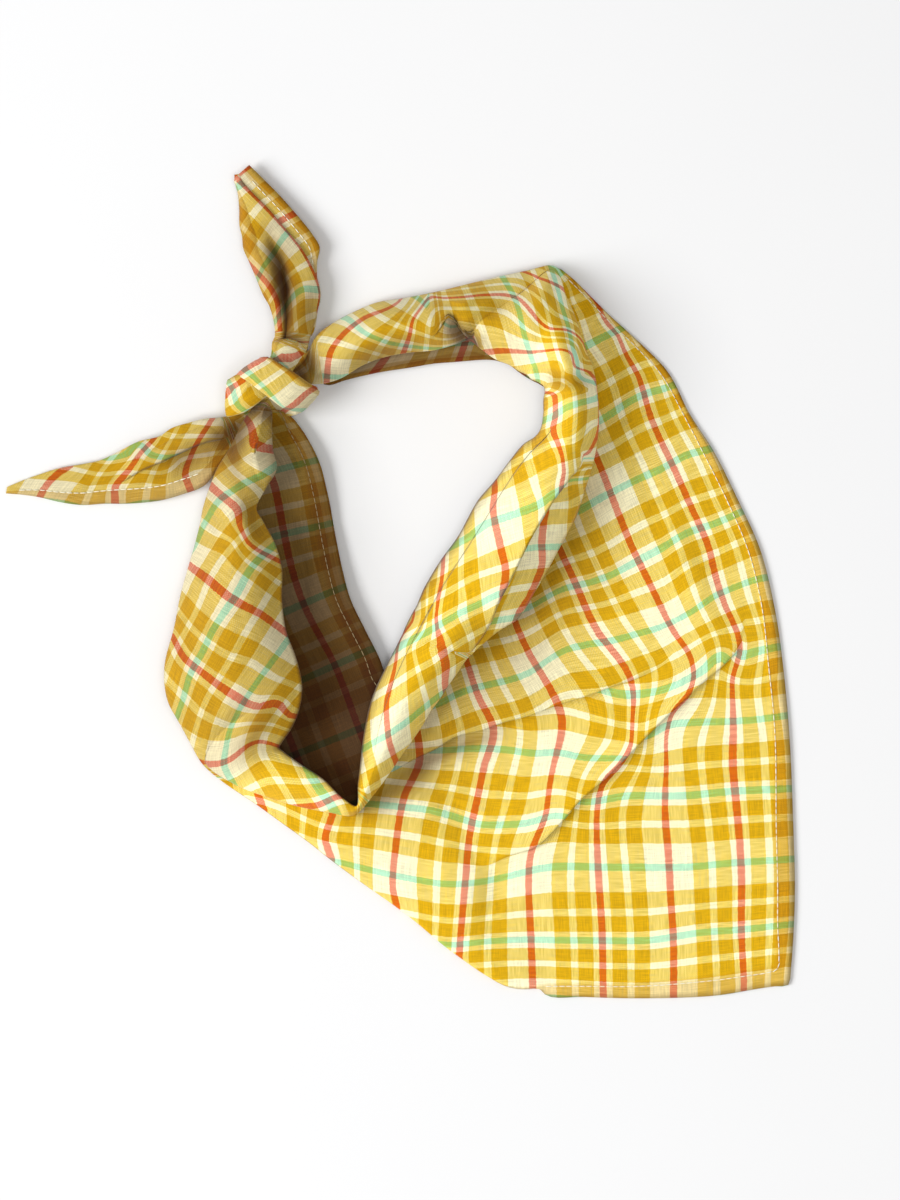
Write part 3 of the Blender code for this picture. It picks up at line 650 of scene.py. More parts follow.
END_HEM = [(*LEFT_END[row][0][:2], 0) for row in range(0, 11, 2)] + [
    (-135, 36.5, 5.5), (-121.5, 35.5, 5.5), (-108.5, 35, 5.5), (-95.5, 35.5, 5.5), (-82, 36, 5.5),
    (-127.5, 41.5, 13.5), (-82, 45, 14), (-74.5, 48.5, 17),
]
END_HIGH = [
    (-93.5, 43, 19), (-86, 51, 31), (-80.5, 54, 35), (-74.5, 56.5, 39), (-69, 59.5, 45), (-97.5, 49.5, 22.5),
    (-105, 39, 11.5),
]
BAND_RED = {
    15: [(-42, 64), (-37, 67.5), (-32, 71.5)],
    16: [(-57.5, 78.5), (-55, 80), (-52, 81.5)],
}
BAND_MINT = {
    1: [(-52, 79), (-49.5, 75.5), (-47, 72), (-44, 68), (-41.5, 64.5)],
}
BAND_SIDE = [
    (-58.5, 75.5, 58.5), (-48.5, 68.5, 58.5), (-41, 63, 58.5), (-49, 82, 43), (-41, 76.5, 42), (-31, 72, 42),
]
BULGE_MINT = {
    2: [(-63, 74.5), (-62, 72), (-59.5, 69), (-57.5, 66.5), (-54.5, 64)],
}
BULGE_WARP = [
    (-56, 71, 25), (-63, 66, 25), (-59.5, 74, 19), (-64.5, 71, 19), (-53, 67.5, 30), (-59.5, 63, 30.5),
]
BULGE_WEFT = [(-56, 71, 70.5), (-63, 66, 82.5)]

TIP_RED = {
    1: [(-61, 151.5), (-51.5, 142), (-44, 134), (-37, 125.5), (-32, 116.5), (-29, 107), (-30, 101)],
    2: [(-55, 118), (-51.5, 114.5), (-47.5, 109.5), (-45.5, 105)],
}
TIP_MINT = {
    17: [(-42.5, 129), (-45.5, 124.5), (-48.5, 120), (-51, 116), (-53, 112)],
    18: [(-61, 147), (-58.5, 148.5)],
    16: [(-36, 109), (-29.5, 108.5), (-43.5, 101), (-47.5, 94.5)],
    15: [(-34, 83)],
}
STRIPS_RED = {
    18: [(-43, 135.5), (-38, 138)],
    19: [(-61, 151.5), (-59.5, 153)],
}
STRIPS_SIDE = [
    (-56.5, 147, 2.5), (-48.5, 139, 2.5), (-41, 130, 2.5), (-35, 124.5, 2.5), (-52, 151.5, 10),
    (-44.5, 144.5, 10), (-38, 137, 10), (-32, 129.5, 10), (-29.5, 122.5, 10),
]


def stripes(place, table):
    """Every point of a table's stripes, with the stripe's place in the flat square."""
    return [(x, y, place(number)) for number, points in table.items() for x, y in points]


def spread_between(pins):
    """A thin-plate surface through pinned values: x, y in, the flat place out."""
    slack = 0.0003  # how loosely the surface keeps to its pins
    pins = np.array(pins, float)
    xy, values = pins[:, :2] / 100, pins[:, 2]

    def kernel(a, b):
        d = np.sum((a[:, None] - b[None]) ** 2, axis=2) + 1e-9
        return 0.5 * d * np.log(d)

    count = len(xy)
    level = np.column_stack([np.ones(count), xy])
    table = np.zeros((count + 3, count + 3))
    table[:count, :count] = kernel(xy, xy) + np.eye(count) * slack
    table[:count, count:], table[count:, :count] = level, level.T
    weights = np.linalg.solve(table, np.concatenate([values, np.zeros(3)]))

    def flat_place(points):
        at = points[:, :2] / 100
        return kernel(at, xy) @ weights[:count] + np.column_stack([np.ones(len(at)), at]) @ weights[count:]
    return flat_place


def threads(reds, mints, warp_pins=(), weft_pins=()):
    """Where warp and weft lie on one stretch of the cloth, from its stripes and from any other known places."""
    return (spread_between([*stripes(red, reds), *warp_pins]), spread_between([*stripes(mint, mints), *weft_pins]))


def jump(table, x):
    """The cloth hidden in a crease at x, evened out over 8 mm."""
    known = np.array(table)
    return sum(np.interp(x + shift, known[:, 0], known[:, 1]) for shift in (-4, -2, 0, 2, 4)) / 5


def bib_wefts():
    """The weft's place on the bib: one smooth surface, raised at each crease by the cloth hidden there."""
    def hidden(x, *tables):
        return sum(jump(table, x) for table in tables)

    stretches = ((BIB_MINT_LOW, ()), (BIB_MINT_MIDDLE, (LONG_JUMP,)), (BIB_MINT_HIGH, (LONG_JUMP, SHORT_JUMP)))
    pins = BIB_LOWER_HEM + [
        (x, y, place - hidden(x, *jumps)) for table, jumps in stretches for x, y, place in stripes(mint, table)]
    smooth = spread_between(pins)
    return [lambda at, jumps=jumps: smooth(at) + hidden(at[:, 0], *jumps) for _, jumps in stretches]


bib_warp = spread_between(stripes(red, BIB_RED) + BIB_SIDE_HEM)
bib_low, bib_middle, bib_high = bib_wefts()
WHERE = {
    "bib low": (bib_warp, bib_low),
    "bib middle": (bib_warp, bib_middle),
    "bib high": (bib_warp, bib_high),
    "gathers": threads({}, {}, GATHER_WARP, GATHER_WEFT),
    "left": threads(LEFT_RED, LEFT_MINT, LEFT_SIDE),
    "collar": threads(COLLAR_RED, COLLAR_MINT),
    "strip": threads(STRIP_RED, STRIP_MINT, STRIP_SIDE),
    "dark": threads(DARK_RED, DARK_MINT, DARK_HEM),
    "upper": threads(UPPER_RED, UPPER_MINT),
    "far": threads(FAR_RED, FAR_MINT),
    "edge": threads(EDGE_RED, {}, [], EDGE_HEM),
    "end": threads(END_RED, END_MINT, [], END_HEM),
    "end high": threads(END_RED, END_MINT, [], END_HIGH + END_HEM[:8]),  # the lower hem, without the rest
    "band": threads(BAND_RED, BAND_MINT, [], BAND_SIDE),
    "bulge": threads({}, BULGE_MINT, BULGE_WARP, BULGE_WEFT),
    "tip": threads(TIP_RED, TIP_MINT),
    "strips": threads(STRIPS_RED, {}, [], STRIPS_SIDE),
}
# The seven stretches across the cloth that show, from place to place
SHOWN = ((0, LONG), (LONG + 2, SHORT), (SHORT + 2, LIP_LOW), (LIP, BAND), (BAND + 2, PLEAT), (PLEAT + 2, CREST),
         (CREST + 3, LOOSE))


def flat_places():
    """The place in the flat square of every point of the cloth, hidden stretches filled in along the section."""
    flat = np.zeros((ROWS, COLUMNS, 2))
    whole = np.concatenate([np.arange(count) / count + number for number, count in enumerate(row_counts)]
                           + [[len(row_counts)]])
    key = np.minimum(whole.astype(int), len(key_shows) - 1)
    after = np.minimum(key + 1, len(key_shows) - 1)
    blend = whole - key
    blend = blend * blend * (3 - 2 * blend)
    seen = np.zeros(COLUMNS, bool)
    for number, (start, end) in enumerate(SHOWN):
        columns = np.arange(FIRST_CELL[start], FIRST_CELL[end] + 1)
        seen[columns] = True
        for name, surfaces in WHERE.items():
            share = np.array([key_shows[k][number] == name for k in key]) * (1 - blend)
            share += np.array([key_shows[k][number] == name for k in after]) * blend
            used = np.nonzero(share > 0)[0]
            if not len(used):
                continue
            at = cloth_points[np.ix_(used, columns)].reshape(-1, 3)
            for axis in range(2):
                values = surfaces[axis](at).reshape(len(used), len(columns))
                flat[np.ix_(used, columns, [axis])] += (values * share[used, None])[:, :, None]
    known = np.nonzero(seen)[0]
    for row in range(ROWS):
        for axis in range(2):
            flat[row, :, axis] = np.interp(np.arange(COLUMNS), known, flat[row, known, axis])
    return flat


cloth_flat = flat_places()

# Stretches that a soft fold or a pocket may cross
FACE, BIB, WHOLE_BIB, GATHERS = (STITCH, CREST), (STITCH, LIP_LOW), (0, LIP_LOW), (BAND, LOOSE)

# Soft folds that the cloth keeps after handling: height, half width, the places that it crosses, its line
SOFT_FOLDS = [
    (-1.6, 5, WHOLE_BIB, [(41, -108), (37, -114), (34.5, -122), (33, -133)]),  # trough below the long crease
    (1.2, 6, WHOLE_BIB, [(90.5, 38), (109.5, 4), (121, -26)]),  # swell over the bib
    (-1.4, 5, WHOLE_BIB, [(79.5, 68), (90.5, 42), (100, 15.5)]),  # hollow beside it
    (1.2, 3, FACE, [(44, 111.5), (47, 102), (49.5, 90.5), (52.5, 81)]),  # turn of the upper face
    (-1.5, 3, FACE, [(-65, 47.5), (-57.5, 33.5), (-55, 23), (-51.5, 12.5)]),  # pinch in the left face
    (1.3, 3, FACE, [(-60.5, 42), (-55, 28.5), (-56.5, 19), (-49, 11)]),  # ridge beside it
    (-1.5, 4, FACE, [(-51.5, -41), (-59.5, -52), (-66.5, -63.5)]),  # hollow above the turn
    (2, 4, FACE, [(-54, -55), (-50.5, -50.5), (-46, -50.5)]),  # small curl
    # open fold of the upper end
    (-5, 2.2, FACE, [(-47.5, 128.5), (-44, 119), (-42.5, 109.5), (-42, 100), (-42.5, 89)]),
    (2, 2.2, FACE, [(-51.5, 122.5), (-47.5, 111.5), (-46.5, 102), (-46, 92.5)]),  # its left lip
    (-2.5, 3.5, FACE, [(-73, 48.5), (-78.5, 45), (-85, 42.5), (-93.5, 39)]),  # hollow of the left end
    (-1.6, 1.1, GATHERS, [(51.5, 77), (60.5, 76.5), (72, 77.5)]),  # gathers of the turn
    (-1.6, 1.1, GATHERS, [(53, 74), (61.5, 73.5), (72, 74)]),  # next gather
    (-1.6, 1.1, GATHERS, [(55, 71), (62.5, 69.5), (70.5, 71)]),  # last gather
    (-0.5, 1.2, FACE, [(-72.5, 42), (-80, 40.5), (-89.5, 38)]),  # crease of the left end
]

# Painted shade in deep folds, under overlaps and beside the collar, where shade falls: how dark, half width, the
# places, its line
PAINTED_SHADE_POCKETS = [
    # open fold of the upper end
    (0.88, 4.2, FACE, [(-49, 130), (-45, 120), (-42.5, 109.5), (-42, 100), (-42.5, 87)]),
    (0.3, 5, FACE, [(-58, 120), (-51.5, 109.5), (-48.5, 99), (-47.5, 89)]),  # its shaded left side
    (0.4, 3, FACE, [(-32.5, 111.5), (-33.5, 102), (-35, 90.5)]),  # its shaded foot
    (0.8, 4, FACE, [(15.5, 99), (21, 93), (27, 89), (31.5, 86)]),  # under the overlap of the upper arm
    (0.3, 6, FACE, [(-18.5, 78.5), (-5, 85), (10, 89)]),  # lower side of the upper arm
    (0.45, 6, FACE, [(-64, 53), (-73, 47.5), (-80.5, 45), (-88, 42)]),  # hollow of the left end
    (0.5, 4, FACE, [(-56.5, 56), (-61, 49.5), (-62.5, 42)]),  # below the knot
    # painted shadow of the collar on the bib beside it
    (0.3, 24, BIB, [(72.5, 42), (65, 23), (56, 6), (43.5, -14.5), (30.5, -31.5), (15.5, -50.5), (-5, -80.5)]),
    (0.5, 5, BIB, [(-18.5, -87), (-7, -82.5), (4.5, -75), (15.5, -61.5)]),  # under the end of the collar
    (0.4, 3, BIB, [(38, -58), (27, -60.5), (13.5, -66.5), (0.5, -73)]),  # below the short crease
    (0.3, 3.5, FACE, [(55, 76.5), (61.5, 74), (72, 74)]),  # in the gathers
    (0.85, 4.5, FACE, [(-43, 91.5), (-38.5, 87), (-34, 82.5), (-29.5, 78)]),  # where the upper arm enters the knot
    (0.8, 3, FACE, [(-45.5, 92.5), (-41, 88.5), (-36, 86)]),  # at the foot of the upper end
    (0.85, 3, FACE, [(-41.5, 82.5), (-39, 80), (-36, 76.5), (-33.5, 72.5)]),  # beside the knot's front band
    (0.6, 3, FACE, [(-58.5, 62), (-53, 63), (-47, 62), (-41, 60.5)]),  # under the knot
    (0.75, 4.5, FACE, [(-55, 60.5), (-60.5, 57.5), (-65.5, 54), (-70, 49.5)]),  # where the left end leaves the knot
    (0.35, 4, FACE, [(-50.5, -44.5), (-51.5, -52), (-55, -60.5), (-59.5, -65.5)]),  # inside the turn of the left arm
    (0.25, 3, FACE, [(-62.5, 45.5), (-57.5, 33.5), (-55, 23), (-51.5, 12.5)]),  # pinch of the left face
]


def along_fold(points, half_width, line):
    """1 on a fold's line, falling off to either side of it and towards its two ends."""
    x, y = points[:, :, 0], points[:, :, 1]
    nearest = np.full(x.shape, 1e9)
    fade = np.zeros_like(nearest)
    total = len(line) - 1
    for number, ((ax, ay), (bx, by)) in enumerate(zip(line, line[1:])):
        dx, dy = bx - ax, by - ay
        along = np.clip(((x - ax) * dx + (y - ay) * dy) / (dx * dx + dy * dy), 0, 1)
        away = np.hypot(x - ax - along * dx, y - ay - along * dy)
        closer = away < nearest
        nearest = np.where(closer, away, nearest)
        fade = np.where(closer, np.sin(np.pi * np.clip((number + along) / total, 0.02, 0.98)), fade)
    return np.exp(-(nearest / half_width) ** 2) * np.sqrt(fade)


def soften(points):
    """Adds the soft folds and a slight unevenness to the face; what lies under it follows a little."""
    lowest = 0.5  # where the cloth lies on the table; within 3 mm of it the unevenness dies away
    flatness = np.clip((points[:, :, 2] - lowest) / 3.0, 0.15, 1)
    x, y = points[:, :, 0], points[:, :, 1]
    lift = np.zeros_like(x)
    for height, half_width, (start, end), line in SOFT_FOLDS:
        columns = slice(FIRST_CELL[start], FIRST_CELL[end] + 1)
        lift[:, columns] += height * along_fold(points[:, columns], half_width, line)
    waves = (  # how fast each runs across x and y, its phase, its height
        (0.081, 0.047, 0.3, 0.34), (-0.052, 0.093, 1.7, 0.3), (0.128, -0.071, 2.9, 0.2), (0.19, 0.15, 0.8, 0.12),
    )
    for across_x, across_y, phase, height in waves:
        lift += height * flatness * np.sin(across_x * x + across_y * y + phase)
    points[:, :, 2] = np.maximum(points[:, :, 2] + lift, lowest)
    return points


cloth_points = soften(cloth_points)


def new_material(name):
    """A material, with its node tree and its shader."""
    material = bpy.data.materials.new(name)
    material.use_nodes = True
    return material, material.node_tree, material.node_tree.nodes["Principled BSDF"]


def feed(tree, node, inputs):
    """Sets each named input of a node to a value, or links it to another node's output."""
    for name, value in inputs.items():
        if isinstance(value, bpy.types.NodeSocket):
            tree.links.new(value, node.inputs[name])
        else:
            node.inputs[name].default_value = value


def add_node(tree, kind, inputs=None, **settings):
    """A new node of this kind, with its settings made first and its inputs fed after."""
    node = tree.nodes.new(kind)
    for name, value in settings.items():
        setattr(node, name, value)
    feed(tree, node, inputs or {})
    return node


def new_group(name, kind, inputs, output, output_kind):
    """An empty node group with named inputs and one output; returns it and what its inputs give."""
    tree = bpy.data.node_groups.new(name, kind)
    for title, socket in inputs.items():
        tree.interface.new_socket(name=title, in_out="INPUT", socket_type="NodeSocket" + socket)
    tree.interface.new_socket(name=output, in_out="OUTPUT", socket_type="NodeSocket" + output_kind)
    return tree, add_node(tree, "NodeGroupInput").outputs


def shade_group():
    """Takes a colour towards a deeper tint of itself by an amount: the deeper tone of the thick hem, and painted
    shade where the cloth lies in shade.
    """
    tree, given = new_group("hem depth and painted shade", "ShaderNodeTree",
                            {"Color": "Color", "Tint": "Color", "Amount": "Float"}, "Color", "Color")
    tinted = add_node(tree, "ShaderNodeMix", {"A": given["Color"], "B": given["Tint"], "Factor": given["Amount"]},
                      data_type="RGBA", blend_type="MULTIPLY")
    add_node(tree, "NodeGroupOutput", {"Color": tinted.outputs["Result"]})
    return tree


HEM_DEPTH_AND_PAINTED_SHADE = shade_group()


def shaded(tree, colour, attribute, tint):
    """The group laid over a colour, as far as the attribute says."""
    amount = add_node(tree, "ShaderNodeAttribute", attribute_name=attribute).outputs["Fac"]
    shade = {"Color": colour, "Tint": (*tint, 1), "Amount": amount}
    return add_node(tree, "ShaderNodeGroup", shade, node_tree=HEM_DEPTH_AND_PAINTED_SHADE).outputs["Color"]


def madras_cotton():
    """Yarn-dyed cotton: mustard and cream bands with red warp stripes and mint weft stripes, in plain weave."""
    material, tree, shader = new_material("madras cotton")
    flat_map = add_node(tree, "ShaderNodeUVMap", uv_map="flat").outputs[0]
    at = add_node(tree, "ShaderNodeVectorMath", {0: flat_map, "Scale": SQUARE}, operation="SCALE").outputs[0]
    across_warp, across_weft, _ = add_node(tree, "ShaderNodeSeparateXYZ", {0: at}).outputs

    def count(operation, *values):
        return add_node(tree, "ShaderNodeMath", dict(enumerate(values)), operation=operation).outputs[0]

    def noise(per_mm, detail=2.0, rough=0.5):
        place = add_node(tree, "ShaderNodeMapping", {"Vector": at, "Scale": per_mm}).outputs[0]
        look = {"Vector": place, "Scale": 1.0, "Detail": detail, "Roughness": rough}
        return add_node(tree, "ShaderNodeTexNoise", look, noise_dimensions="2D").outputs[0]

    def laid_over(below, above, share, blend="MIX"):
        layers = {"A": below, "B": above, "Factor": share}
        return add_node(tree, "ShaderNodeMix", layers, data_type="RGBA", blend_type=blend).outputs["Result"]

    # threads wander a quarter of a millimetre to either side
    wander = count("MULTIPLY", count("SUBTRACT", noise((0.9, 0.9, 1)), 0.5), 0.5)

    def thread_bands(across, first_cream, stripe):
        """Colours across one set of threads: two creams, each with its stripe, and mustard with a fine light line."""
        shifted = count("ADD", count("ADD", across, wander), REPEAT - first_cream)
        ramp = add_node(tree, "ShaderNodeValToRGB", {0: count("FRACT", count("DIVIDE", shifted, REPEAT))})
        ramp.color_ramp.interpolation = "CONSTANT"
        cream, mustard, light = (0.98, 0.95, 0.78, 1), (0.83, 0.64, 0.0, 1), (0.975, 0.945, 0.75, 1)
        bands = (  # each with its width in millimetres
            (cream, 2.07), (stripe, 2.63), (cream, 2.07), (mustard, 5.64), (light, 2.63), (mustard, 5.64),
            (cream, 7.33), (stripe, 2.64), (cream, 7.33), (mustard, 5.64), (light, 2.63), (mustard, 5.65),
        )
        elements = ramp.color_ramp.elements  # a new ramp has two: the first is kept, the last goes when all are in
        edge = 0.0
        for number, (colour, width) in enumerate(bands):
            element = elements[number] if number < 1 else elements.new(edge / REPEAT)
            element.position, element.color = edge / REPEAT, colour
            edge += width
        elements.remove(elements[len(elements) - 1])
        return ramp.outputs[0]

    warp = thread_bands(across_warp, first_cream=15.8, stripe=(0.81, 0.17, 0.10, 1))
    weft = thread_bands(across_weft, first_cream=21.1, stripe=(0.46, 0.86, 0.72, 1))

    # plain weave: warp over weft, weft over warp, every two threads; slubs are short across a thread, long along it
    two_threads, across, along = 0.84, 2.6, 0.12
    over = count("MULTIPLY", *(
        count("SINE", count("MULTIPLY", way, 2 * math.pi / two_threads)) for way in (across_warp, across_weft)))
    slub_warp = noise((across, along, 1), 3, 0.6)
    slub_weft = noise((along, across, 1), 3, 0.6)
    slubs = count("MULTIPLY", count("SUBTRACT", slub_weft, slub_warp), 0.35)
    woven = laid_over(warp, weft, count("ADD", count("MULTIPLY", over, 0.12), count("ADD", slubs, 0.5)))

    # yarns dye unevenly: a little lighter and darker along each
    uneven = count("ADD", count("MULTIPLY", count("ADD", slub_warp, slub_weft), 0.3), 0.7)
    dyed = laid_over(woven, uneven, 1.0, "MULTIPLY")

    # the turned hem is three layers thick, so it lets less light through and reads deeper
    hemmed = shaded(tree, dyed, "turned", (0.91, 0.84, 0.70))
    # painted shade: the arms' faces are made deeper, and the layers inside the roll and the deep folds brown, where
    # shade falls on them
    unlit = shaded(tree, hemmed, "inside", (0.30, 0.21, 0.14))
    # the colours above are as the eye reads them, and the shader takes them as light
    colour = add_node(tree, "ShaderNodeGamma", {"Color": unlit, "Gamma": 2.2}).outputs[0]

    height = count("ADD", count("MULTIPLY", over, 0.5), count("ADD", slub_warp, slub_weft))
    bump = add_node(tree, "ShaderNodeBump", {"Strength": 0.35, "Distance": 0.12 * MM, "Height": height}).outputs[0]
    rough = count("ADD", count("MULTIPLY", slub_weft, 0.16), 0.78)
    feed(tree, shader, {"Base Color": colour, "Roughness": rough, "Specular IOR Level": 0.2, "Sheen Weight": 0.12,
                        "Sheen Roughness": 0.5, "Normal": bump})
    return material


def row_of(group, number=0):
    """The dense row at a key section, counted through the sections before its group."""
    order = (LEFT_END, KNOT_FROM_LEFT_END, LEFT_ARM, BIB_AND_COLLAR, UPPER_ARM, KNOT_TO_UPPER_END, UPPER_END)
    key = sum(len(rows) for rows in order[:order.index(group)]) + number
    return int(sum(row_counts[:key]))


def painted_shade_share():
    """Painted shade for each point, as it lies in shade inside the roll: none on the bib, a little on the arms'
    faces, most below them, and more in the pockets of deep folds.
    """
    in_the_ends, in_the_knot, on_left_arm, on_upper_arm, under_upper_arm = 0.22, 0.17, 0.26, 0.13, 0.66
    share = np.zeros((ROWS, COLUMNS))
    crest = FIRST_CELL[CREST]
    left_arm, upper_knot = row_of(LEFT_ARM), row_of(KNOT_TO_UPPER_END)
    share[:row_of(KNOT_FROM_LEFT_END)] = share[row_of(UPPER_END):] = in_the_ends
    share[row_of(KNOT_FROM_LEFT_END):left_arm] = share[upper_knot:row_of(UPPER_END)] = in_the_knot
    share[left_arm:row_of(BIB_AND_COLLAR), :crest] = on_left_arm
    share[row_of(UPPER_ARM):upper_knot, :crest] = on_upper_arm
    turn = row_of(BIB_AND_COLLAR, 30)
    share[turn:upper_knot, crest + 2:] = under_upper_arm
    under = share[left_arm:turn, crest:]
    darker_from = [row_of(LEFT_ARM, number) - left_arm for number in (1, 5, 10, 13)]
    under[:] = np.interp(np.arange(len(under)), darker_from, (0.55, 0.7, 0.84, 0.97))[:, None]
    for axis, passes in ((0, 8), (1, 1)):  # the shade fades from each stretch to the next
        for _ in range(passes):
            before, after = np.roll(share, 1, axis), np.roll(share, -1, axis)
            share = share * 0.5 + (before + after) * 0.25
    for dark, half_width, (start, end), line in PAINTED_SHADE_POCKETS:
        columns = slice(FIRST_CELL[start], FIRST_CELL[end] + 1)
        pocket = dark * along_fold(cloth_points[:, columns], half_width, line)
        share[:, columns] = 1 - (1 - share[:, columns]) * (1 - pocket)
    return share


def in_scene(name, data):
    """An object of this name that shows the data, linked into the scene at the origin."""
    made = bpy.data.objects.new(name, data)
    bpy.context.scene.collection.objects.link(made)
    return made


low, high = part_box("bandana")
MIDDLE = vec((low.x + high.x) / 2, (low.y + high.y) / 2, 0)
HEM_LAYERS = 2.2  # thickness of the pressed hem, in thicknesses of the cotton


def tied_cloth():
    """The grid of points as one sheet, with its flat places as UVs and its hems thicker than the rest."""
    corners = np.arange(ROWS * COLUMNS).reshape(ROWS, COLUMNS)
    faces = np.stack([corners[:-1, :-1], corners[1:, :-1], corners[1:, 1:], corners[:-1, 1:]], axis=-1)
    faces = faces.reshape(-1, 4)
    mesh = bpy.data.meshes.new("tied_cloth")
    mesh.from_pydata((cloth_points.reshape(-1, 3) * MM + MIDDLE).tolist(), [], faces.tolist())
    uv = mesh.uv_layers.new(name="flat")
    flat = (cloth_flat / SQUARE).reshape(-1, 2)
    uv.data.foreach_set("uv", flat[faces.ravel()].ravel().astype(np.float32))
    column = np.tile(np.arange(COLUMNS), ROWS)
    hem = (column <= FIRST_CELL[STITCH]) | (column >= FIRST_CELL[LOOSE - 1])
    # turned is the thick hem's deeper tone; inside is the painted shade inside the roll and in deep folds
    for name, values in (("turned", hem), ("inside", painted_shade_share().ravel())):
        mesh.attributes.new(name, "FLOAT", "POINT").data.foreach_set("value", values.astype(np.float32))
    mesh.materials.append(madras_cotton())
    mesh.shade_smooth()
    cloth = in_scene("tied_cloth", mesh)
    group = cloth.vertex_groups.new(name="turned hem")
    group.add(np.nonzero(hem)[0].tolist(), 1.0, "REPLACE")
    shell = cloth.modifiers.new("cotton thickness", "SOLIDIFY")
    shell.thickness = HEM_LAYERS * CLOTH * MM
    shell.offset = 0
    shell.vertex_group = group.name
    shell.thickness_vertex_group = 1 / HEM_LAYERS
    return cloth


cloth = tied_cloth()

# ---------------------------------------------------------------------------------------------------------------
# The hem stitching: one row of lockstitch in pale cotton thread, 5 mm inside the edge. Each stitch is a short
# grain of thread that sinks at both ends; they follow the hem wherever it shows.
# ---------------------------------------------------------------------------------------------------------------
STITCH_PITCH, THREAD = 2.5, 0.42
THREAD_LIFT = 0.3         # from the cotton's upper face to the middle of the thread


def two_tones(tree, per_metre, dark, light):
    """A noise over the piece, and the colours from dark to light that follow it."""
    place = add_node(tree, "ShaderNodeTexCoord").outputs["Object"]
    noise = add_node(tree, "ShaderNodeTexNoise", {"Vector": place, "Scale": per_metre}).outputs[0]
    ramp = add_node(tree, "ShaderNodeValToRGB", {0: noise})
    for element, colour in zip(ramp.color_ramp.elements, (dark, light)):
        element.color = (*colour, 1)
    return noise, ramp.outputs[0]


def thread_material():
    """Pale twisted thread, with painted shade near the neck loop, as the cloth has inside the roll."""
    material, tree, shader = new_material("pale sewing thread")
    noise, pale = two_tones(tree, 900.0, (0.78, 0.73, 0.52), (0.95, 0.93, 0.80))
    bump = add_node(tree, "ShaderNodeBump", {"Strength": 0.3, "Distance": 0.05 * MM, "Height": noise}).outputs[0]
    feed(tree, shader, {"Base Color": shaded(tree, pale, "inside", (0.34, 0.25, 0.15)), "Normal": bump,
                        "Roughness": 0.6, "Sheen Weight": 0.1})
    return material


def stitch_tree():
    """Geometry Nodes: grains of thread of a given pitch and thickness along each edge path."""
    tree, given = new_group("hem stitches", "GeometryNodeTree", {
        "Path": "Geometry", "Pitch": "Float", "Thread": "Float", "Material": "Material"}, "Stitches", "Geometry")
    pitch, thread = given["Pitch"], given["Thread"]
    curve = add_node(tree, "GeometryNodeMeshToCurve", {0: given["Path"]}).outputs[0]
    places = add_node(tree, "GeometryNodeResampleCurve", {"Curve": curve, "Length": pitch}, mode="LENGTH").outputs[0]
    grain = add_node(tree, "GeometryNodeMeshUVSphere", {"Segments": 6, "Rings": 5, "Radius": 0.5}).outputs["Mesh"]
    length = add_node(tree, "ShaderNodeMath", {0: pitch, 1: 0.97}, operation="MULTIPLY").outputs[0]
    shape = add_node(tree, "ShaderNodeCombineXYZ", {"X": thread, "Y": thread, "Z": length}).outputs[0]
    uneven = {"Min": 0.88, "Max": 1.05, "Seed": 7}
    vary = add_node(tree, "FunctionNodeRandomValue", uneven, data_type="FLOAT").outputs[1]
    size = add_node(tree, "ShaderNodeVectorMath", {0: shape, "Scale": vary}, operation="SCALE").outputs[0]
    along = add_node(tree, "GeometryNodeInputTangent").outputs[0]
    turn = add_node(tree, "FunctionNodeAlignEulerToVector", {"Vector": along}, axis="Z").outputs[0]
    made = add_node(tree, "GeometryNodeInstanceOnPoints", {
        "Points": places, "Instance": grain, "Rotation": turn, "Scale": size}).outputs[0]
    for last_step in ("GeometryNodeSetShadeSmooth", "GeometryNodeRealizeInstances"):
        made = add_node(tree, last_step, {0: made}).outputs[0]
    made = add_node(tree, "GeometryNodeSetMaterial", {"Geometry": made, "Material": given["Material"]}).outputs[0]
    add_node(tree, "NodeGroupOutput", {0: made})
    return tree


def hem_paths():
    """Where the stitch line shows: point lists that lie on the cloth, in millimetres."""
    # each starts and stops where its hem comes out from a fold, the knot or a tip, or goes back in
    outer, inner = FIRST_CELL[STITCH], FIRST_CELL[LOOSE - 1]
    bib_from, bib_to = row_of(BIB_AND_COLLAR, 9), row_of(BIB_AND_COLLAR, len(BIB_AND_COLLAR) - 2)
    arm_from, arm_to = row_of(LEFT_ARM), row_of(LEFT_ARM, 13)
    end_from, end_to = row_of(UPPER_END, 4), row_of(UPPER_END, len(UPPER_END) - 2)
    paths = [cloth_points[row_of(LEFT_END, 1):row_of(LEFT_END, 10), outer],
             cloth_points[bib_from:bib_to, outer], cloth_points[arm_from:arm_to, inner],
             cloth_points[end_from:end_to, inner]]
    return [path + vec(0, 0, 0.55 * CLOTH + THREAD_LIFT) for path in paths]


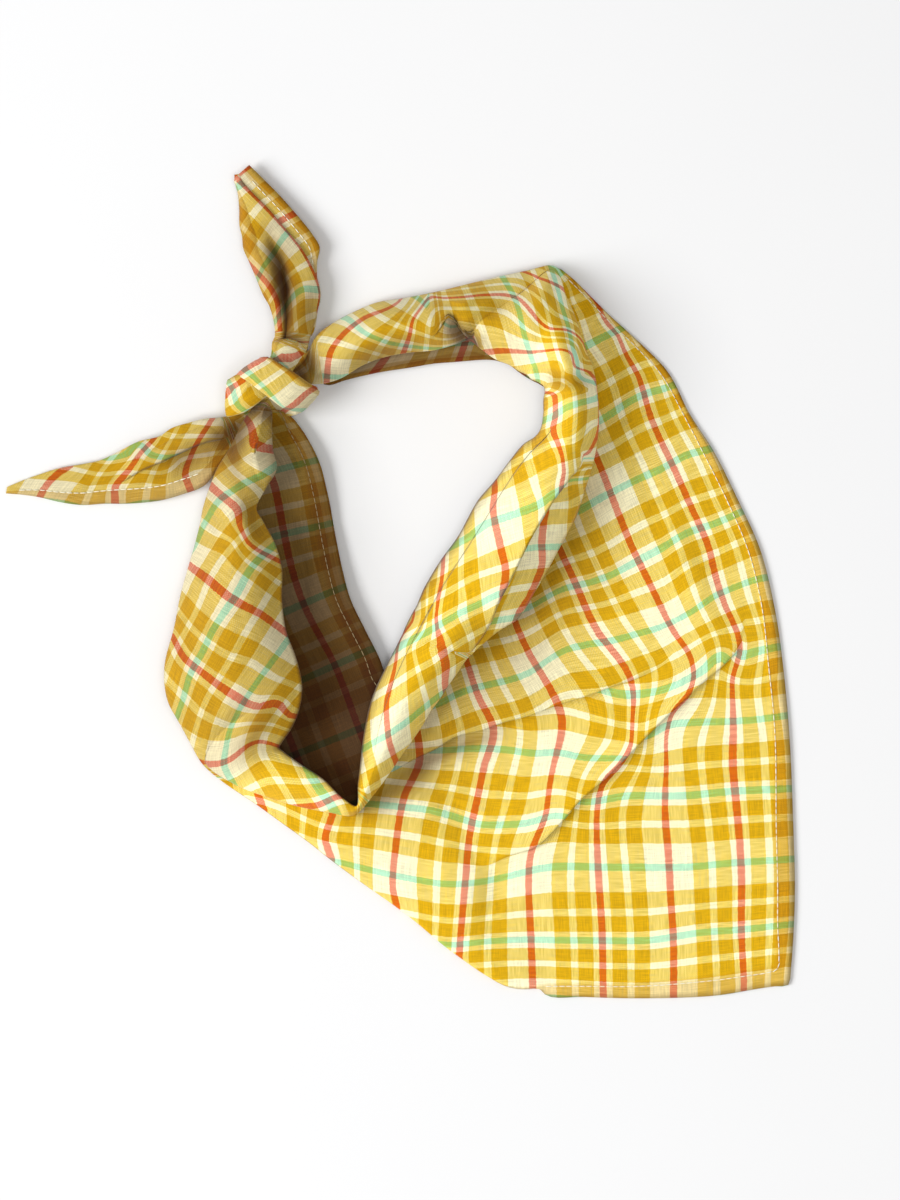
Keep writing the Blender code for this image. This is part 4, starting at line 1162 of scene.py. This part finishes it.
def hem_stitches():
    """The grains laid along every path, as one plain mesh."""
    points, edges = [], []
    for path in hem_paths():
        edges += [(len(points) + n, len(points) + n + 1) for n in range(len(path) - 1)]
        points += (path * MM + MIDDLE).tolist()
    mesh = bpy.data.meshes.new("stitch_path")
    mesh.from_pydata(points, edges, [])
    maker = in_scene("stitch_path", mesh)
    tree = stitch_tree()
    modifier = maker.modifiers.new("stitches", "NODES")
    modifier.node_group = tree
    values = {"Pitch": STITCH_PITCH * MM, "Thread": THREAD * MM, "Material": thread_material()}
    for item in tree.interface.items_tree:
        if item.in_out == "INPUT" and item.name in values:
            modifier[item.identifier] = values[item.name]
    graph = bpy.context.evaluated_depsgraph_get()
    made = bpy.data.meshes.new_from_object(maker.evaluated_get(graph))
    made.name = "hem_stitches"
    # painted shade on the stitches: of the rows, only the one on the loose layer lies near the neck loop, and it is
    # darkened there
    near_x, low_y, high_y = 60 * MM, -60 * MM, 90 * MM
    in_loop = [float(abs(v.co.x) < near_x and low_y < v.co.y < high_y) for v in made.vertices]
    made.attributes.new("inside", "FLOAT", "POINT").data.foreach_set("value", in_loop)
    bpy.data.objects.remove(maker)
    return in_scene("hem_stitches", made)


stitches = hem_stitches()
for piece in (cloth, stitches):
    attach(piece, "root")
    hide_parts("bandana")

# ---------------------------------------------------------------------------------------------------------------
# The setting: a plain pale table top, seen straight from above through a long lens, in soft studio light that
# comes mostly from the lower left, with white all round.
# ---------------------------------------------------------------------------------------------------------------
REACH = 3                 # half the side of the table top, in metres


def table_top():
    """A plain pale surface, barely uneven in tone."""
    material, tree, shader = new_material("pale table")
    _, tone = two_tones(tree, 6.0, (0.81, 0.81, 0.815), (0.83, 0.83, 0.83))
    feed(tree, shader, {"Base Color": tone, "Roughness": 0.9, "Specular IOR Level": 0.1})
    mesh = bpy.data.meshes.new("floor")
    corners = [(-REACH, -REACH, 0), (REACH, -REACH, 0), (REACH, REACH, 0), (-REACH, REACH, 0)]
    mesh.from_pydata(corners, [], [range(4)])
    mesh.materials.append(material)
    floor = in_scene("floor", mesh)


def soft_light(name, place, size, power):
    """A square lamp that faces the bandana."""
    light = bpy.data.lights.new(name, "AREA")
    light.shape, light.size, light.energy = "SQUARE", size, power
    lamp = in_scene(name, light)
    lamp.location = place
    lamp.rotation_euler = (-Vector(place)).to_track_quat("-Z", "Y").to_euler()


def studio():
    """White all round, with a broad lamp to the left and a weaker one overhead."""
    world = bpy.data.worlds.new("studio")
    bpy.context.scene.world = world
    world.use_nodes = True
    background = world.node_tree.nodes["Background"]
    background.inputs["Color"].default_value = (1, 1, 1, 1)
    background.inputs["Strength"].default_value = 0.38
    soft_light("window", (-2.4, -0.5, 1.9), 1.8, 100)
    soft_light("overhead", (0.3, -0.3, 2.4), 1.2, 15)
    bpy.context.scene.view_settings.view_transform = "Standard"


def camera_above():
    """The framed height is 451 mm of table; the long lens keeps heights from shifting the outline."""
    framed, aim_x, aim_y = 0.4512, 0.0193, -0.0071
    data = bpy.data.cameras.new("camera")
    data.lens, data.sensor_width, data.sensor_fit = 200.0, 36.0, "AUTO"
    camera = in_scene("camera", data)
    camera.location = (aim_x, aim_y, framed * data.lens / data.sensor_width)
    bpy.context.scene.camera = camera


table_top()
studio()
camera_above()
